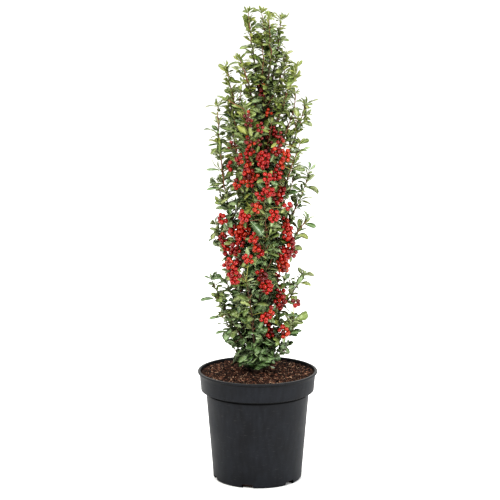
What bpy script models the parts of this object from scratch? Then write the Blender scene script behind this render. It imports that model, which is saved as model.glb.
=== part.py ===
"""A firethorn shrub grown as a slim column, in its nursery pot.

The origin is the middle of the pot's flat underside, +Z is up and -Y is the side that faces the viewer.
All lengths are metres.
"""

import itertools
import math

import bmesh
import bpy
import numpy as np
from mathutils import Matrix, Vector, noise
from mathutils.bvhtree import BVHTree

# Driving dimensions of the pot
POT_HEIGHT = 0.212
LIP_RADIUS = 0.115
LIP_HEIGHT = 0.0042
LIP_CORNER = 0.0017
BAND_TOP_RADIUS = 0.1118
BAND_FOOT_RADIUS = 0.1088
BAND_HEIGHT = 0.038
BODY_TOP_RADIUS = 0.0990
BODY_FOOT_RADIUS = 0.0855
FOOT_CORNER = 0.0045
WALL = 0.0018
FLOOR = 0.0025
POT_SIDES = 48

# Drainage slots, cut through the corner of wall and floor
SLOT_COUNT = 6
SLOT_WIDTH = 0.022
SLOT_HEIGHT = 0.0075
SLOT_DEPTH = 0.014
SLOT_TURN = math.radians(16.5)

# Potting soil
SOIL_BELOW_LIP = 0.007
SOIL_LUMPS = 0.0010
SOIL_LUMP_SPACING = 0.017
SOIL_RING_RADII = (0.090, 0.070, 0.050)
SOIL_FLAT_RADIUS = 0.030
SOIL_SIDES = 36

# Clearance between pieces that touch, and what a limb's neighbours keep from it
GAP = 0.0003
LIMB_GAP = 0.0004

# Edges sharper than this between two faces are drawn as creases
CREASE = math.radians(40)

# Trunk
TRUNK_TOP = 0.775
TRUNK_FOOT_RADIUS = 0.0062
TRUNK_TOP_RADIUS = 0.0024
TRUNK_TAPER = 0.9
TRUNK_LEAN = 0.014
TRUNK_LEAN_BEND = 3
TRUNK_WANDER = 0.0025
TRUNK_WANDER_ASIDE = 0.0015
FLARE_RADIUS = 0.0050
FLARE_HEIGHT = 0.014
ROOT_COUNT = 5
ROOT_LOBES = 0.16
TRUNK_RINGS = 16
TRUNK_RINGS_CROWD = 1.5
TRUNK_SIDES = 10

# Boughs
BOUGH_SIDES = 6
BOUGH_RINGS = 6
BOUGH_FOOT_RADIUS = 0.0030
BOUGH_END_RADIUS = 0.0017

# Masses of foliage
MASS_SIDES = 10
MASS_RINGS = 6
UNEVEN = 0.16
WANDER = 0.006
PLUME_SWELL = 2.4
INNER_SWELL = 4.0
MASS_CLEARANCE = 0.0008
SHRINK = 0.95
SHRINK_ROUNDS = 60
LEAST_RADIUS = 0.003

# Every shoot is a bare bough and then the plume of foliage that it enters.
# Columns: name, bearing in degrees (0 right, 90 back, 180 left, 270 front), height where it leaves the
# trunk, reach from the trunk to its tip, height of its tip, bow (over 1 turns up early, under 1 late),
# bare share of its length, widest radius of its foliage.
SHOOTS = (
    ("centre_leader", 100, TRUNK_TOP, 0.012, 0.901, 1.0, 0.00, 0.013),
    ("left_leader", 184, 0.706, 0.030, 0.908, 1.2, 0.40, 0.017),
    ("right_leader", 298, 0.716, 0.032, 0.896, 1.5, 0.40, 0.014),
    ("top_right", 4, 0.690, 0.033, 0.894, 1.5, 0.48, 0.014),
    ("top_left", 205, 0.680, 0.050, 0.816, 1.0, 0.42, 0.017),
    ("upper_right", 346, 0.620, 0.071, 0.806, 1.1, 0.36, 0.022),
    ("upper_left", 172, 0.560, 0.064, 0.806, 1.2, 0.34, 0.022),
    ("far_right", 20, 0.500, 0.099, 0.734, 1.1, 0.34, 0.023),
    ("left_long", 190, 0.350, 0.076, 0.742, 2.2, 0.24, 0.022),
    ("right_middle", 328, 0.450, 0.098, 0.668, 1.1, 0.36, 0.027),
    ("right_outer", 10, 0.390, 0.102, 0.610, 1.3, 0.34, 0.023),
    ("right_side", 346, 0.345, 0.104, 0.520, 0.9, 0.38, 0.024),
    ("right_low", 12, 0.265, 0.093, 0.402, 1.1, 0.36, 0.021),
    ("right_foot", 340, 0.224, 0.080, 0.322, 0.9, 0.34, 0.026),
    ("left_foot", 164, 0.226, 0.072, 0.316, 1.0, 0.36, 0.017),
    ("left_low", 196, 0.236, 0.093, 0.404, 1.3, 0.36, 0.022),
    ("left_side", 160, 0.330, 0.084, 0.502, 1.3, 0.36, 0.025),
    ("front_low", 256, 0.230, 0.078, 0.410, 1.5, 0.30, 0.030),
    ("front_middle", 284, 0.320, 0.076, 0.560, 1.6, 0.28, 0.031),
    ("front_upper", 250, 0.470, 0.070, 0.740, 1.4, 0.28, 0.029),
    ("back_low", 84, 0.236, 0.084, 0.440, 1.4, 0.30, 0.032),
    ("back_middle", 66, 0.340, 0.084, 0.610, 1.5, 0.28, 0.033),
    ("back_left", 122, 0.420, 0.082, 0.690, 1.5, 0.28, 0.032),
    ("back_upper", 80, 0.530, 0.066, 0.796, 1.4, 0.28, 0.029),
)

# Inner masses stand against the trunk, the first at its foot and the rest where there is most room
INNER_COUNT = 9
INNER_AT_FOOT = 3
INNER_FOOT = 0.212
INNER_TOP = 0.770
INNER_LENGTH = 0.064
INNER_RADIUS = 0.032
INNER_OFFSETS = (0.015, 0.020, 0.025)
BEARINGS_TRIED = 24
FEET_TRIED = 28
SHARES_TRIED = (0.05, 0.25, 0.5, 0.75, 0.95)

# Looks of the plain solids: colour, roughness
PLASTIC = ((0.020, 0.021, 0.024), 0.55)
PEAT = ((0.035, 0.018, 0.010), 0.95)
BARK = ((0.070, 0.042, 0.026), 0.85)
LEAFAGE = ((0.060, 0.110, 0.028), 0.60)


def clear_scene():
    for item in list(bpy.data.objects):
        bpy.data.objects.remove(item, do_unlink=True)


def finish_of(name, look):
    colour, roughness = look
    finish = bpy.data.materials.new(name)
    finish.use_nodes = True
    shader = finish.node_tree.nodes["Principled BSDF"]
    shader.inputs["Base Color"].default_value = (*colour, 1)
    shader.inputs["Roughness"].default_value = roughness
    shader.inputs["Metallic"].default_value = 0
    return finish


def solid(name, shape, origin, look=None):
    """The object of a bmesh whose points are in the world, with its own origin."""
    bmesh.ops.translate(shape, verts=shape.verts, vec=-origin)
    bmesh.ops.recalc_face_normals(shape, faces=shape.faces)
    mesh = bpy.data.meshes.new(name)
    shape.to_mesh(mesh)
    shape.free()
    mesh.shade_smooth()
    mesh.set_sharp_from_angle(angle=CREASE)
    made = bpy.data.objects.new(name, mesh)
    made.location = origin
    bpy.context.scene.collection.objects.link(made)
    if look:
        mesh.materials.append(finish_of(name, look))
    else:
        made.hide_render = True
        made.display_type = "WIRE"
    return made


def turned(profile, sides):
    """A closed body turned about Z from (radius, height) points that start and end on the axis."""
    shape = bmesh.new()
    rings = []
    for radius, height in profile:
        if radius == 0:
            rings.append([shape.verts.new((0, 0, height))])
            continue
        angles = (2 * math.pi * side / sides for side in range(sides))
        rings.append([shape.verts.new((radius * math.cos(a), radius * math.sin(a), height)) for a in angles])
    join_rings(shape, rings)
    return shape


def join_rings(shape, rings):
    """Faces from each ring of points to the next. A ring of one point is a pole."""
    for low, high in zip(rings, rings[1:]):
        count = max(len(low), len(high))
        for i in range(count):
            j = (i + 1) % count
            corners = [low[i % len(low)], low[j % len(low)], high[j % len(high)], high[i % len(high)]]
            shape.faces.new(list(dict.fromkeys(corners)))


def ring_ways(centres, facing=None):
    """For each centre on a line, the two directions across it that its ring is laid out in."""
    across = facing or Vector((1, 0, 0))
    last = len(centres) - 1
    ways = []
    for index in range(len(centres)):
        along = (centres[min(index + 1, last)] - centres[max(index - 1, 0)]).normalized()
        across = (across - along * across.dot(along)).normalized()
        ways.append((across, along.cross(across)))
    return ways


def ring_direction(way, side, sides):
    across, beside = way
    angle = 2 * math.pi * side / sides
    return across * math.cos(angle) + beside * math.sin(angle)


def lofted(centres, ways, radii, poles=None):
    """A closed body of rings round a line of centres, with a flat cap at each end or with two poles."""
    shape = bmesh.new()
    start = shape.verts.new(poles[0]) if poles else None
    rings = []
    for centre, way, row in zip(centres, ways, radii):
        spread = [ring_direction(way, side, len(row)) * radius for side, radius in enumerate(row)]
        rings.append([shape.verts.new(centre + offset) for offset in spread])
    if poles:
        rings = [[start], *rings, [shape.verts.new(poles[1])]]
    join_rings(shape, rings)
    if not poles:
        shape.faces.new(rings[0][::-1])
        shape.faces.new(rings[-1])
    bmesh.ops.triangulate(shape, faces=shape.faces)
    shape.verts.index_update()
    return shape


def largest_body(mesh):
    """Deletes every loose island of a mesh but the one with the most room in it."""
    shape = bmesh.new()
    shape.from_mesh(mesh)
    waiting = set(shape.verts)
    islands = []
    while waiting:
        island, front = set(), [waiting.pop()]
        while front:
            point = front.pop()
            island.add(point)
            for edge in point.link_edges:
                other = edge.other_vert(point)
                if other in waiting:
                    waiting.remove(other)
                    front.append(other)
        islands.append(island)
    islands.sort(key=island_size)
    bmesh.ops.delete(shape, geom=[point for island in islands[:-1] for point in island], context="VERTS")
    bmesh.ops.triangulate(shape, faces=shape.faces)
    shape.to_mesh(mesh)
    shape.free()


def island_size(island):
    points = np.array([point.co for point in island])
    return float(np.prod(points.max(axis=0) - points.min(axis=0)))


def boxes_meet(first, second):
    corners = []
    for item in (first, second):
        points = np.array([item.matrix_world @ Vector(corner) for corner in item.bound_box])
        corners.append((points.min(axis=0), points.max(axis=0)))
    (low_a, high_a), (low_b, high_b) = corners
    return bool((low_a < high_b).all() and (low_b < high_a).all())


def carve(piece, cutters):
    """Cuts the room of earlier pieces out of this one and keeps its largest body."""
    bpy.context.view_layer.update()
    for cutter in cutters:
        if boxes_meet(piece, cutter):
            cut = piece.modifiers.new(cutter.name, "BOOLEAN")
            cut.operation = "DIFFERENCE"
            cut.solver = "EXACT"
            cut.object = cutter
    graph = bpy.context.evaluated_depsgraph_get()
    mesh = bpy.data.meshes.new_from_object(piece.evaluated_get(graph))
    piece.modifiers.clear()
    piece.data = mesh
    largest_body(mesh)


def arc(centre, radius, start, end, steps):
    """Points of a round corner, as (radius, height), between two angles in degrees."""
    angles = np.radians(np.linspace(start, end, steps + 1))
    return [(centre[0] + radius * math.cos(a), centre[1] + radius * math.sin(a)) for a in angles]


def inner_wall(height):
    """The radius inside the pot at a height."""
    band_foot = POT_HEIGHT - BAND_HEIGHT
    if height < band_foot + WALL:
        share = height / band_foot
        return BODY_FOOT_RADIUS + (BODY_TOP_RADIUS - BODY_FOOT_RADIUS) * share - WALL
    share = (height - band_foot) / BAND_HEIGHT
    return BAND_FOOT_RADIUS + (BAND_TOP_RADIUS - BAND_FOOT_RADIUS) * share - WALL


def make_pot():
    band_foot = POT_HEIGHT - BAND_HEIGHT
    lip_foot = POT_HEIGHT - LIP_HEIGHT
    step = band_foot + WALL
    profile = [(0, 0)]
    profile += arc((BODY_FOOT_RADIUS - FOOT_CORNER, FOOT_CORNER), FOOT_CORNER, -90, 0, 3)
    profile += [(BODY_TOP_RADIUS, band_foot), (BAND_FOOT_RADIUS, band_foot)]
    profile += [(BAND_TOP_RADIUS, lip_foot), (LIP_RADIUS, lip_foot)]
    profile += arc((LIP_RADIUS - LIP_CORNER, POT_HEIGHT - LIP_CORNER), LIP_CORNER, 0, 90, 2)
    profile += [(inner_wall(POT_HEIGHT), POT_HEIGHT), (inner_wall(step), step)]
    profile += [(inner_wall(step - GAP), step), (inner_wall(FLOOR), FLOOR), (0, FLOOR)]
    pot = solid("pot", turned(profile, POT_SIDES), Vector((0, 0, 0)), PLASTIC)
    slots = [make_slot_cutter(index) for index in range(SLOT_COUNT)]
    carve(pot, slots)
    for slot in slots:
        bpy.data.objects.remove(slot, do_unlink=True)


def make_slot_cutter(index):
    angle = 2 * math.pi * index / SLOT_COUNT + SLOT_TURN
    shape = bmesh.new()
    bmesh.ops.create_cube(shape, size=1)
    middle = BODY_FOOT_RADIUS - SLOT_DEPTH / 2 + FOOT_CORNER / 2
    place = (
        Matrix.Rotation(angle, 4, "Z")
        @ Matrix.Translation((middle, 0, 0))
        @ Matrix.Diagonal((SLOT_DEPTH + FOOT_CORNER, SLOT_WIDTH, 2 * SLOT_HEIGHT, 1))
    )
    bmesh.ops.transform(shape, matrix=place, verts=shape.verts)
    return solid(f"slot_{index + 1}", shape, Vector((0, 0, 0)))


def make_soil():
    band_foot = POT_HEIGHT - BAND_HEIGHT
    step = band_foot + WALL
    top = POT_HEIGHT - SOIL_BELOW_LIP
    bottom = FLOOR + GAP
    profile = [(0, bottom), (inner_wall(bottom) - GAP, bottom), (inner_wall(step - GAP) - GAP, step + GAP)]
    profile += [(inner_wall(step + GAP) - GAP, step + GAP), (inner_wall(top) - GAP, top)]
    profile += [(radius, top) for radius in SOIL_RING_RADII]
    profile += [(SOIL_FLAT_RADIUS, top), (0, top)]
    shape = turned(profile, SOIL_SIDES)
    for point in shape.verts:
        if point.co.z > top - GAP and point.co.xy.length > SOIL_FLAT_RADIUS + GAP:
            point.co.z += SOIL_LUMPS * noise.noise(point.co / SOIL_LUMP_SPACING)
    solid("soil", shape, Vector((0, 0, 0)), PEAT)
    return top


def trunk_axis(height):
    """The middle of the trunk at a height: a slight wander and a lean to the right."""
    foot = POT_HEIGHT - SOIL_BELOW_LIP
    share = (height - foot) / (TRUNK_TOP - foot)
    sway = math.sin(2 * math.pi * share) * share
    lean = TRUNK_LEAN * share**TRUNK_LEAN_BEND
    return Vector((lean - TRUNK_WANDER_ASIDE * sway, TRUNK_WANDER * sway, height))


def trunk_radius(share, flare_share):
    return (
        TRUNK_FOOT_RADIUS
        + (TRUNK_TOP_RADIUS - TRUNK_FOOT_RADIUS) * share**TRUNK_TAPER
        + FLARE_RADIUS * math.exp(-share / flare_share)
    )


def make_trunk(soil_top):
    foot = soil_top + GAP
    shares = np.linspace(0, 1, TRUNK_RINGS) ** TRUNK_RINGS_CROWD
    heights = [foot + (TRUNK_TOP - foot) * share for share in shares]
    centres = [trunk_axis(height) for height in heights]
    flare_share = FLARE_HEIGHT / (TRUNK_TOP - foot)
    radii = []
    for share in shares:
        radius = trunk_radius(share, flare_share)
        lobes = ROOT_LOBES * math.exp(-share / flare_share)
        angles = (2 * math.pi * side / TRUNK_SIDES for side in range(TRUNK_SIDES))
        radii.append([radius * (1 + lobes * math.cos(ROOT_COUNT * a)) for a in angles])
    level = [(Vector((1, 0, 0)), Vector((0, 1, 0)))] * TRUNK_RINGS
    return limb_pair("trunk", centres, radii, level)


def limb_pair(name, centres, radii, ways=None):
    """A limb, and the wider copy of it that makes room for it in its neighbours."""
    limb = solid(name, lofted(centres, ways or ring_ways(centres), radii), centres[0], BARK)
    start = centres[0] - (centres[1] - centres[0]).normalized() * GAP
    end = centres[-1] + (centres[-1] - centres[-2]).normalized() * GAP
    longer = [start, *centres[1:-1], end]
    wider = [[radius + LIMB_GAP for radius in row] for row in radii]
    room = solid(f"room_of_{name}", lofted(longer, ways or ring_ways(longer), wider), centres[0])
    return limb, room


def shoot_point(shoot, share):
    """A point on a shoot's line, from the middle of the trunk at 0 to its tip at 1."""
    _, bearing, root, reach, tip, bow, _, _ = shoot
    start = trunk_axis(root)
    outward = Vector((math.cos(math.radians(bearing)), math.sin(math.radians(bearing)), 0))
    away = reach * (1 - (1 - share) ** bow)
    sway = WANDER * math.sin(2 * math.pi * share + math.radians(bearing)) * share
    sideways = Vector((-outward.y, outward.x, 0)) * sway
    drift = Vector((0, 0, tip - root)) * share
    return start + outward * away + sideways + drift


def make_bough(shoot, rooms):
    name, bare = shoot[0], shoot[6]
    shares = np.linspace(0, bare, BOUGH_RINGS)
    centres = [shoot_point(shoot, share) for share in shares]
    taper = np.linspace(BOUGH_FOOT_RADIUS, BOUGH_END_RADIUS, BOUGH_RINGS)
    bough, room = limb_pair(f"bough_{name}", centres, [[radius] * BOUGH_SIDES for radius in taper])
    carve(bough, rooms)
    return bough, room


def surface_of(pieces):
    """One search tree over the surfaces of these pieces, in the world."""
    points, faces = [], []
    for piece in pieces:
        first = len(points)
        points += [point.co + piece.location for point in piece.data.vertices]
        faces += [[first + corner for corner in face.vertices] for face in piece.data.polygons]
    return BVHTree.FromPolygons(points, faces)


def swollen(radius, swell, seed):
    """Rows of radii that swell and close again, each point pushed in or out a little."""
    chance = np.random.default_rng(seed)
    shares = (1 - np.cos(np.pi * np.arange(1, MASS_RINGS + 1) / (MASS_RINGS + 1))) / 2
    profile = (1 - np.abs(2 * shares - 1) ** swell) ** 0.5
    push = 1 + UNEVEN * chance.uniform(-1, 1, (MASS_RINGS, MASS_SIDES))
    return shares, profile[:, None] * push * radius


def make_mass(name, centres, poles, radii, facing, neighbours):
    """One closed mass, drawn in wherever it would meet the solids that are there already."""
    ways = ring_ways(centres, facing)
    taken = surface_of(neighbours)
    for centre, way, row in zip(centres, ways, radii):
        for side, radius in enumerate(row):
            hit = taken.ray_cast(centre, ring_direction(way, side, len(row)), radius + MASS_CLEARANCE)
            if hit[0] is not None:
                row[side] = max(hit[3] - MASS_CLEARANCE, LEAST_RADIUS)
    for _ in range(SHRINK_ROUNDS):
        fuller = lofted(centres, ways, radii + MASS_CLEARANCE, poles)
        meeting = {own for own, _ in BVHTree.FromBMesh(fuller).overlap(taken)}
        rings_of = [[corner.index - 1 for corner in face.verts] for face in fuller.faces]
        fuller.free()
        for corner in {corner for index in meeting for corner in rings_of[index]}:
            if 0 <= corner < radii.size:
                radii.flat[corner] = max(radii.flat[corner] * SHRINK, LEAST_RADIUS)
    return solid(name, lofted(centres, ways, radii, poles), centres[0], LEAFAGE)


def make_plume(shoot, seed, neighbours):
    """The foliage of a shoot, from the end of its bough to its tip."""
    name, bare, radius = shoot[0], shoot[6], shoot[7]
    shares, radii = swollen(radius, PLUME_SWELL, seed)
    centres = [shoot_point(shoot, bare + (1 - bare) * share) for share in shares]
    start, tip = shoot_point(shoot, bare), shoot_point(shoot, 1)
    onward = (centres[0] - start).normalized()
    return make_mass(f"mass_{name}", centres, (start + onward * GAP, tip), radii, None, neighbours)


def inner_point(foot, bearing, offset, share):
    """A point on the line of an inner mass, from its foot at 0 to its top at 1."""
    level = foot + INNER_LENGTH * share
    axis = trunk_axis(level)
    return Vector((axis.x, axis.y, level)) + offset * Vector((math.cos(bearing), math.sin(bearing), 0))


def room_at(point, taken):
    """The distance from a point to the nearest surface, negative inside a solid."""
    nearest, normal, _, distance = taken.find_nearest(point)
    return math.copysign(distance, (point - nearest).dot(normal))


def roomiest_place(feet, neighbours):
    """The foot, bearing and offset from the trunk at which a line stands clearest of its neighbours."""
    taken = surface_of(neighbours)
    bearings = [2 * math.pi * step / BEARINGS_TRIED for step in range(BEARINGS_TRIED)]

    def room(place):
        return min(room_at(inner_point(*place, share), taken) for share in SHARES_TRIED)

    return max(itertools.product(feet, bearings, INNER_OFFSETS), key=room)


def make_inner_mass(index, neighbours, limb_rooms):
    """A lump that stands flat against one side of the trunk, with the boughs that cross it cut out."""
    feet = np.linspace(INNER_FOOT, INNER_TOP - INNER_LENGTH, FEET_TRIED)
    if index < INNER_AT_FOOT:
        feet = feet[:1]
    foot, bearing, offset = roomiest_place(feet, neighbours)
    shares, radii = swollen(INNER_RADIUS, INNER_SWELL, len(SHOOTS) + index)
    centres = [inner_point(foot, bearing, offset, share) for share in shares]
    to_trunk = offset - trunk_clearance(foot)
    for row in radii:
        for side in range(MASS_SIDES):
            towards = math.cos(2 * math.pi * side / MASS_SIDES)
            if towards > 0:
                row[side] = min(row[side], to_trunk / towards)
    poles = [inner_point(foot, bearing, offset, share) for share in (0, 1)]
    inward = Vector((-math.cos(bearing), -math.sin(bearing), 0))
    mass = make_mass(f"mass_inner_{index + 1}", centres, poles, radii, inward, neighbours)
    carve(mass, limb_rooms)
    return mass


def trunk_clearance(height):
    """How far a mass keeps from the middle of the trunk so that it stands just clear of the bark."""
    foot = POT_HEIGHT - SOIL_BELOW_LIP
    share = (height - foot) / (TRUNK_TOP - foot)
    return trunk_radius(share, FLARE_HEIGHT / (TRUNK_TOP - foot)) + GAP


def main():
    clear_scene()
    make_pot()
    soil_top = make_soil()
    trunk, trunk_room = make_trunk(soil_top)
    limbs, limb_rooms = [trunk], [trunk_room]
    for shoot in SHOOTS:
        if shoot[6] > 0:
            bough, room = make_bough(shoot, limb_rooms)
            limbs.append(bough)
            limb_rooms.append(room)
    masses = []
    for seed, shoot in enumerate(SHOOTS):
        masses.append(make_plume(shoot, seed, limbs + masses))
    for index in range(INNER_COUNT):
        masses.append(make_inner_mass(index, masses, limb_rooms))
    for room in limb_rooms:
        bpy.data.objects.remove(room, do_unlink=True)


main()
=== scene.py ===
from collections import namedtuple
from math import acos, atan2, cos, exp, hypot, log, pi, radians, sin, sqrt

import bpy
import numpy as np
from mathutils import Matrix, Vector
from numpy.linalg import norm


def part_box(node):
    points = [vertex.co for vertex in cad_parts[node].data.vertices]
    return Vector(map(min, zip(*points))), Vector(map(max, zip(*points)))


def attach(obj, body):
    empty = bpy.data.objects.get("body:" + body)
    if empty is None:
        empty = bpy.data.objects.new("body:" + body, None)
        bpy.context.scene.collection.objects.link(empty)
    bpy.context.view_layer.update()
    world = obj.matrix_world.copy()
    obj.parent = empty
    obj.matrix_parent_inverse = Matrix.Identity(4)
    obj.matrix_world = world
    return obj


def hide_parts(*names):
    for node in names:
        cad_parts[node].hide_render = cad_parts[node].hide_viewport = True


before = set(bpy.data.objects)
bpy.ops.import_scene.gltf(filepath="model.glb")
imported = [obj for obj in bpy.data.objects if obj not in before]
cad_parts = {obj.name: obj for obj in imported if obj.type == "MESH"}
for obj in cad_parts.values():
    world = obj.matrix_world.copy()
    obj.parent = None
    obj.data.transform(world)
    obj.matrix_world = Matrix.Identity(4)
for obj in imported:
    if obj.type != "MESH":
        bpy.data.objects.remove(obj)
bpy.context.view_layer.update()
print("frame loaded with", len(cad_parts), "nodes")

# metres, +Z up, the viewer stands at -Y
scene = bpy.context.scene
up = np.array((0.0, 0.0, 1.0))
goldenTurn = pi * (3 - sqrt(5))  # from one leaf or berry round to the next
mm = 0.001


# colours and shader nodes

def linear(hexColour):
    parts = [int(hexColour[i:i + 2], 16) / 255 for i in (1, 3, 5)]
    return [p / 12.92 if p <= 0.04045 else ((p + 0.055) / 1.055) ** 2.4 for p in parts] + [1]


def addNode(tree, kind, inputs=None, out=0, **settings):
    # adds a node, sets or links its inputs, and gives back one of its outputs
    made = tree.nodes.new("ShaderNode" + kind)
    for name, value in settings.items():
        setattr(made, name, value)
    for name, value in (inputs or {}).items():
        if isinstance(value, bpy.types.NodeSocket):
            tree.links.new(value, made.inputs[name])
        else:
            made.inputs[name].default_value = value
    return made.outputs[out]


def newFinish(name, hexColour, **sockets):
    # a Principled surface, its constants set on its own sockets
    finish = bpy.data.materials.new(name)
    finish.use_nodes = True
    shader = finish.node_tree.nodes["Principled BSDF"]
    shader.inputs["Base Color"].default_value = linear(hexColour)
    for key, value in sockets.items():
        shader.inputs[key.replace("_", " ")].default_value = value
    return finish, finish.node_tree, shader


# meshes

def putInScene(name, data):
    made = bpy.data.objects.new(name, data)
    scene.collection.objects.link(made)
    return made


def newFinishes(name, tones, **sockets):
    # the same finish in each of these tones
    return [newFinish(f"{name}{index + 1}", tone, **sockets)[0] for index, tone in enumerate(tones)]


class Heap:
    # gathers many small shapes into one joined mesh; a triangle's fourth corner is -1
    def __init__(self, *shape):
        self.points, self.faces, self.tones, self.size = [], [], [], 0
        if shape:
            self.add(*shape)

    def add(self, points, faces, tones):
        self.points.append(points)
        self.faces.append(np.where(faces < 0, -1, faces + self.size))
        self.tones.append(np.broadcast_to(tones, len(faces)))
        self.size += len(points)


def pieceOf(name, heap, finishes, replaced=(), crease=None):
    # one object from a heap, which gets only the finishes that its faces use
    points, faces, tones = (np.concatenate(part) for part in (heap.points, heap.faces, heap.tones))
    used, tones = np.unique(tones, return_inverse=True)
    corners = faces[faces >= 0]
    starts = np.concatenate(([0], np.cumsum((faces >= 0).sum(axis=1))[:-1]))
    mesh = bpy.data.meshes.new(name)
    mesh.vertices.add(len(points))
    mesh.vertices.foreach_set("co", points.astype(np.float32).ravel())
    mesh.loops.add(len(corners))
    mesh.loops.foreach_set("vertex_index", corners.astype(np.int32))
    mesh.polygons.add(len(faces))
    mesh.polygons.foreach_set("loop_start", starts.astype(np.int32))
    mesh.polygons.foreach_set("material_index", tones.ravel().astype(np.int32))
    for index in used:
        mesh.materials.append(finishes[index])
    mesh.update(calc_edges=True)
    mesh.shade_smooth()
    if crease:
        mesh.set_sharp_from_angle(angle=radians(crease))
    piece = putInScene(name, mesh)
    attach(piece, "root")
    if replaced:
        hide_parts(*replaced)
    return piece


def unit(vector):
    return vector / norm(vector)


def evenTurns(count):
    # angles that share a full turn
    return np.linspace(0, 2 * pi, count, endpoint=False)


def anyTurn(own):
    # an angle drawn from the full turn
    return own.uniform(0, 2 * pi)


def level(turn):
    # the level direction at this angle
    return np.array((cos(turn), sin(turn), 0.0))


def circle(sides):
    # points round a level circle of radius 1
    turns = evenTurns(sides)
    return np.stack([np.cos(turns), np.sin(turns), np.zeros(sides)], axis=-1)


def across(axis, turn):
    # a direction square to the axis, turned round it
    side = unit(np.cross(axis, up if abs(axis[2]) < 0.95 else (1.0, 0.0, 0.0)))
    return side * cos(turn) + np.cross(axis, side) * sin(turn)


def ringed(rings):
    # closed skin over rings of points, with a pole at each end
    count, sides = rings.shape[:2]
    grid = np.arange(count * sides).reshape(count, sides)
    low, high = grid[:-1], grid[1:]
    walls = np.stack([low, np.roll(low, -1, 1), np.roll(high, -1, 1), high], axis=-1).reshape(-1, 4)
    first, last = count * sides, count * sides + 1
    none = np.full(sides, -1)
    foot = np.stack([np.full(sides, first), np.roll(grid[0], -1), grid[0], none], axis=-1)
    head = np.stack([np.full(sides, last), grid[-1], np.roll(grid[-1], -1), none], axis=-1)
    points = np.concatenate([rings.reshape(-1, 3), [rings[0].mean(axis=0)], [rings[-1].mean(axis=0)]])
    return points, np.concatenate([walls, foot, head])


def tube(centres, radii, sides):
    # a limb round a line of centres; radii may also differ round each ring
    centres = np.asarray(centres, float)
    radii = np.asarray(radii, float)
    along = np.gradient(centres, axis=0)
    along /= norm(along, axis=1)[:, None]
    side = across(along[0], 0.0)
    sideways = []
    for way in along:
        side = unit(side - way * side.dot(way))
        sideways.append(side)
    sideways = np.array(sideways)
    turns = evenTurns(sides)
    spread = sideways[:, None] * np.cos(turns)[:, None]
    spread += np.cross(along, sideways)[:, None] * np.sin(turns)[:, None]
    if radii.ndim == 1:
        radii = radii[:, None]
    return ringed(centres[:, None] + spread * radii[..., None])


def rough(places, seed, longest, shortest, waves=48):
    # an uneven value for each place, from many plane waves of different lengths
    own = np.random.default_rng(seed)
    lengths = np.exp(own.uniform(log(shortest), log(longest), waves))
    ways = own.normal(size=(waves, places.shape[-1]))
    ways *= (2 * pi / lengths / norm(ways, axis=1))[:, None]
    heights = (lengths / longest) ** 0.5
    waved = np.sin(places @ ways.T + own.uniform(0, 2 * pi, waves)) * heights
    return waved.sum(axis=-1) / sqrt((heights**2).sum() / 2)


# camera and studio

camera = {
    "place": (-0.0145, -3.6, 1.107),  # as high as an adult's chest, 3.6 m away
    "pitchDown": 10.396,
    "lens": 138.38,
    "sensor": 36.0,
}


def setCamera():
    data = bpy.data.cameras.new("camera")
    data.lens = camera["lens"]
    data.sensor_width = camera["sensor"]
    scene.camera = putInScene("camera", data)
    scene.camera.location = camera["place"]
    scene.camera.rotation_euler = (radians(90 - camera["pitchDown"]), 0, 0)


studio = {
    "air": 0.92,
    "floorRadius": 60.0,
    "floorSides": 64,
    "floorWaves": 4 / 3,  # metres from one shallow wave in it to the next
    "floorColour": "#f4f4f2",
    # place, size, watts, tint: a high warm key at the left, a cool low fill at the right, one overhead
    "lamps": (
        ((-1.5, -2.3, 2.5), 1.3, 64, (1.0, 0.985, 0.96)),
        ((2.0, -1.7, 0.9), 0.9, 32, (0.93, 0.97, 1.0)),
        ((0.2, 0.6, 3.0), 1.8, 44, (1.0, 1.0, 1.0)),
    ),
    "aim": (0.0, 0.0, 0.5),
}


def setStudio():
    world = bpy.data.worlds.new("studioAir")
    world.use_nodes = True
    air = world.node_tree.nodes["Background"].inputs
    air["Color"].default_value = (1, 1, 1, 1)
    air["Strength"].default_value = studio["air"]
    scene.world = world
    scene.view_settings.view_transform = "Standard"
    scene.view_settings.look = "High Contrast"
    for index, (place, size, watts, tint) in enumerate(studio["lamps"]):
        data = bpy.data.lights.new(f"softbox{index + 1}", "AREA")
        data.shape = "DISK"
        data.size = size
        data.energy = watts
        data.color = tint
        lamp = putInScene(data.name, data)
        lamp.location = place
        lamp.rotation_euler = (Vector(studio["aim"]) - Vector(place)).to_track_quat("-Z", "Y").to_euler()


def makeFloor():
    # matt paint on a screed that isn't quite flat: no sheen, and waves too shallow to see as such
    mesh = bpy.data.meshes.new("paleFloor")
    rim = circle(studio["floorSides"]) * studio["floorRadius"]
    mesh.from_pydata(rim.tolist(), [], [range(len(rim))])
    painted, tree, shader = newFinish("mattePaintedFloor", studio["floorColour"], Roughness=0.9)
    scale = 2 * studio["floorRadius"] / studio["floorWaves"]  # the pattern's unit is the whole floor
    waves = addNode(tree, "TexNoise", {"Scale": scale, "Detail": 3.0})
    bump = addNode(tree, "Bump", {"Height": waves, "Strength": 0.05, "Distance": 0.0005})
    tree.links.new(bump, shader.inputs["Normal"])
    mesh.materials.append(painted)
    putInScene("paleFloor", mesh)


setCamera()
setStudio()
makeFloor()
print("camera and studio set")


# pot

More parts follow.
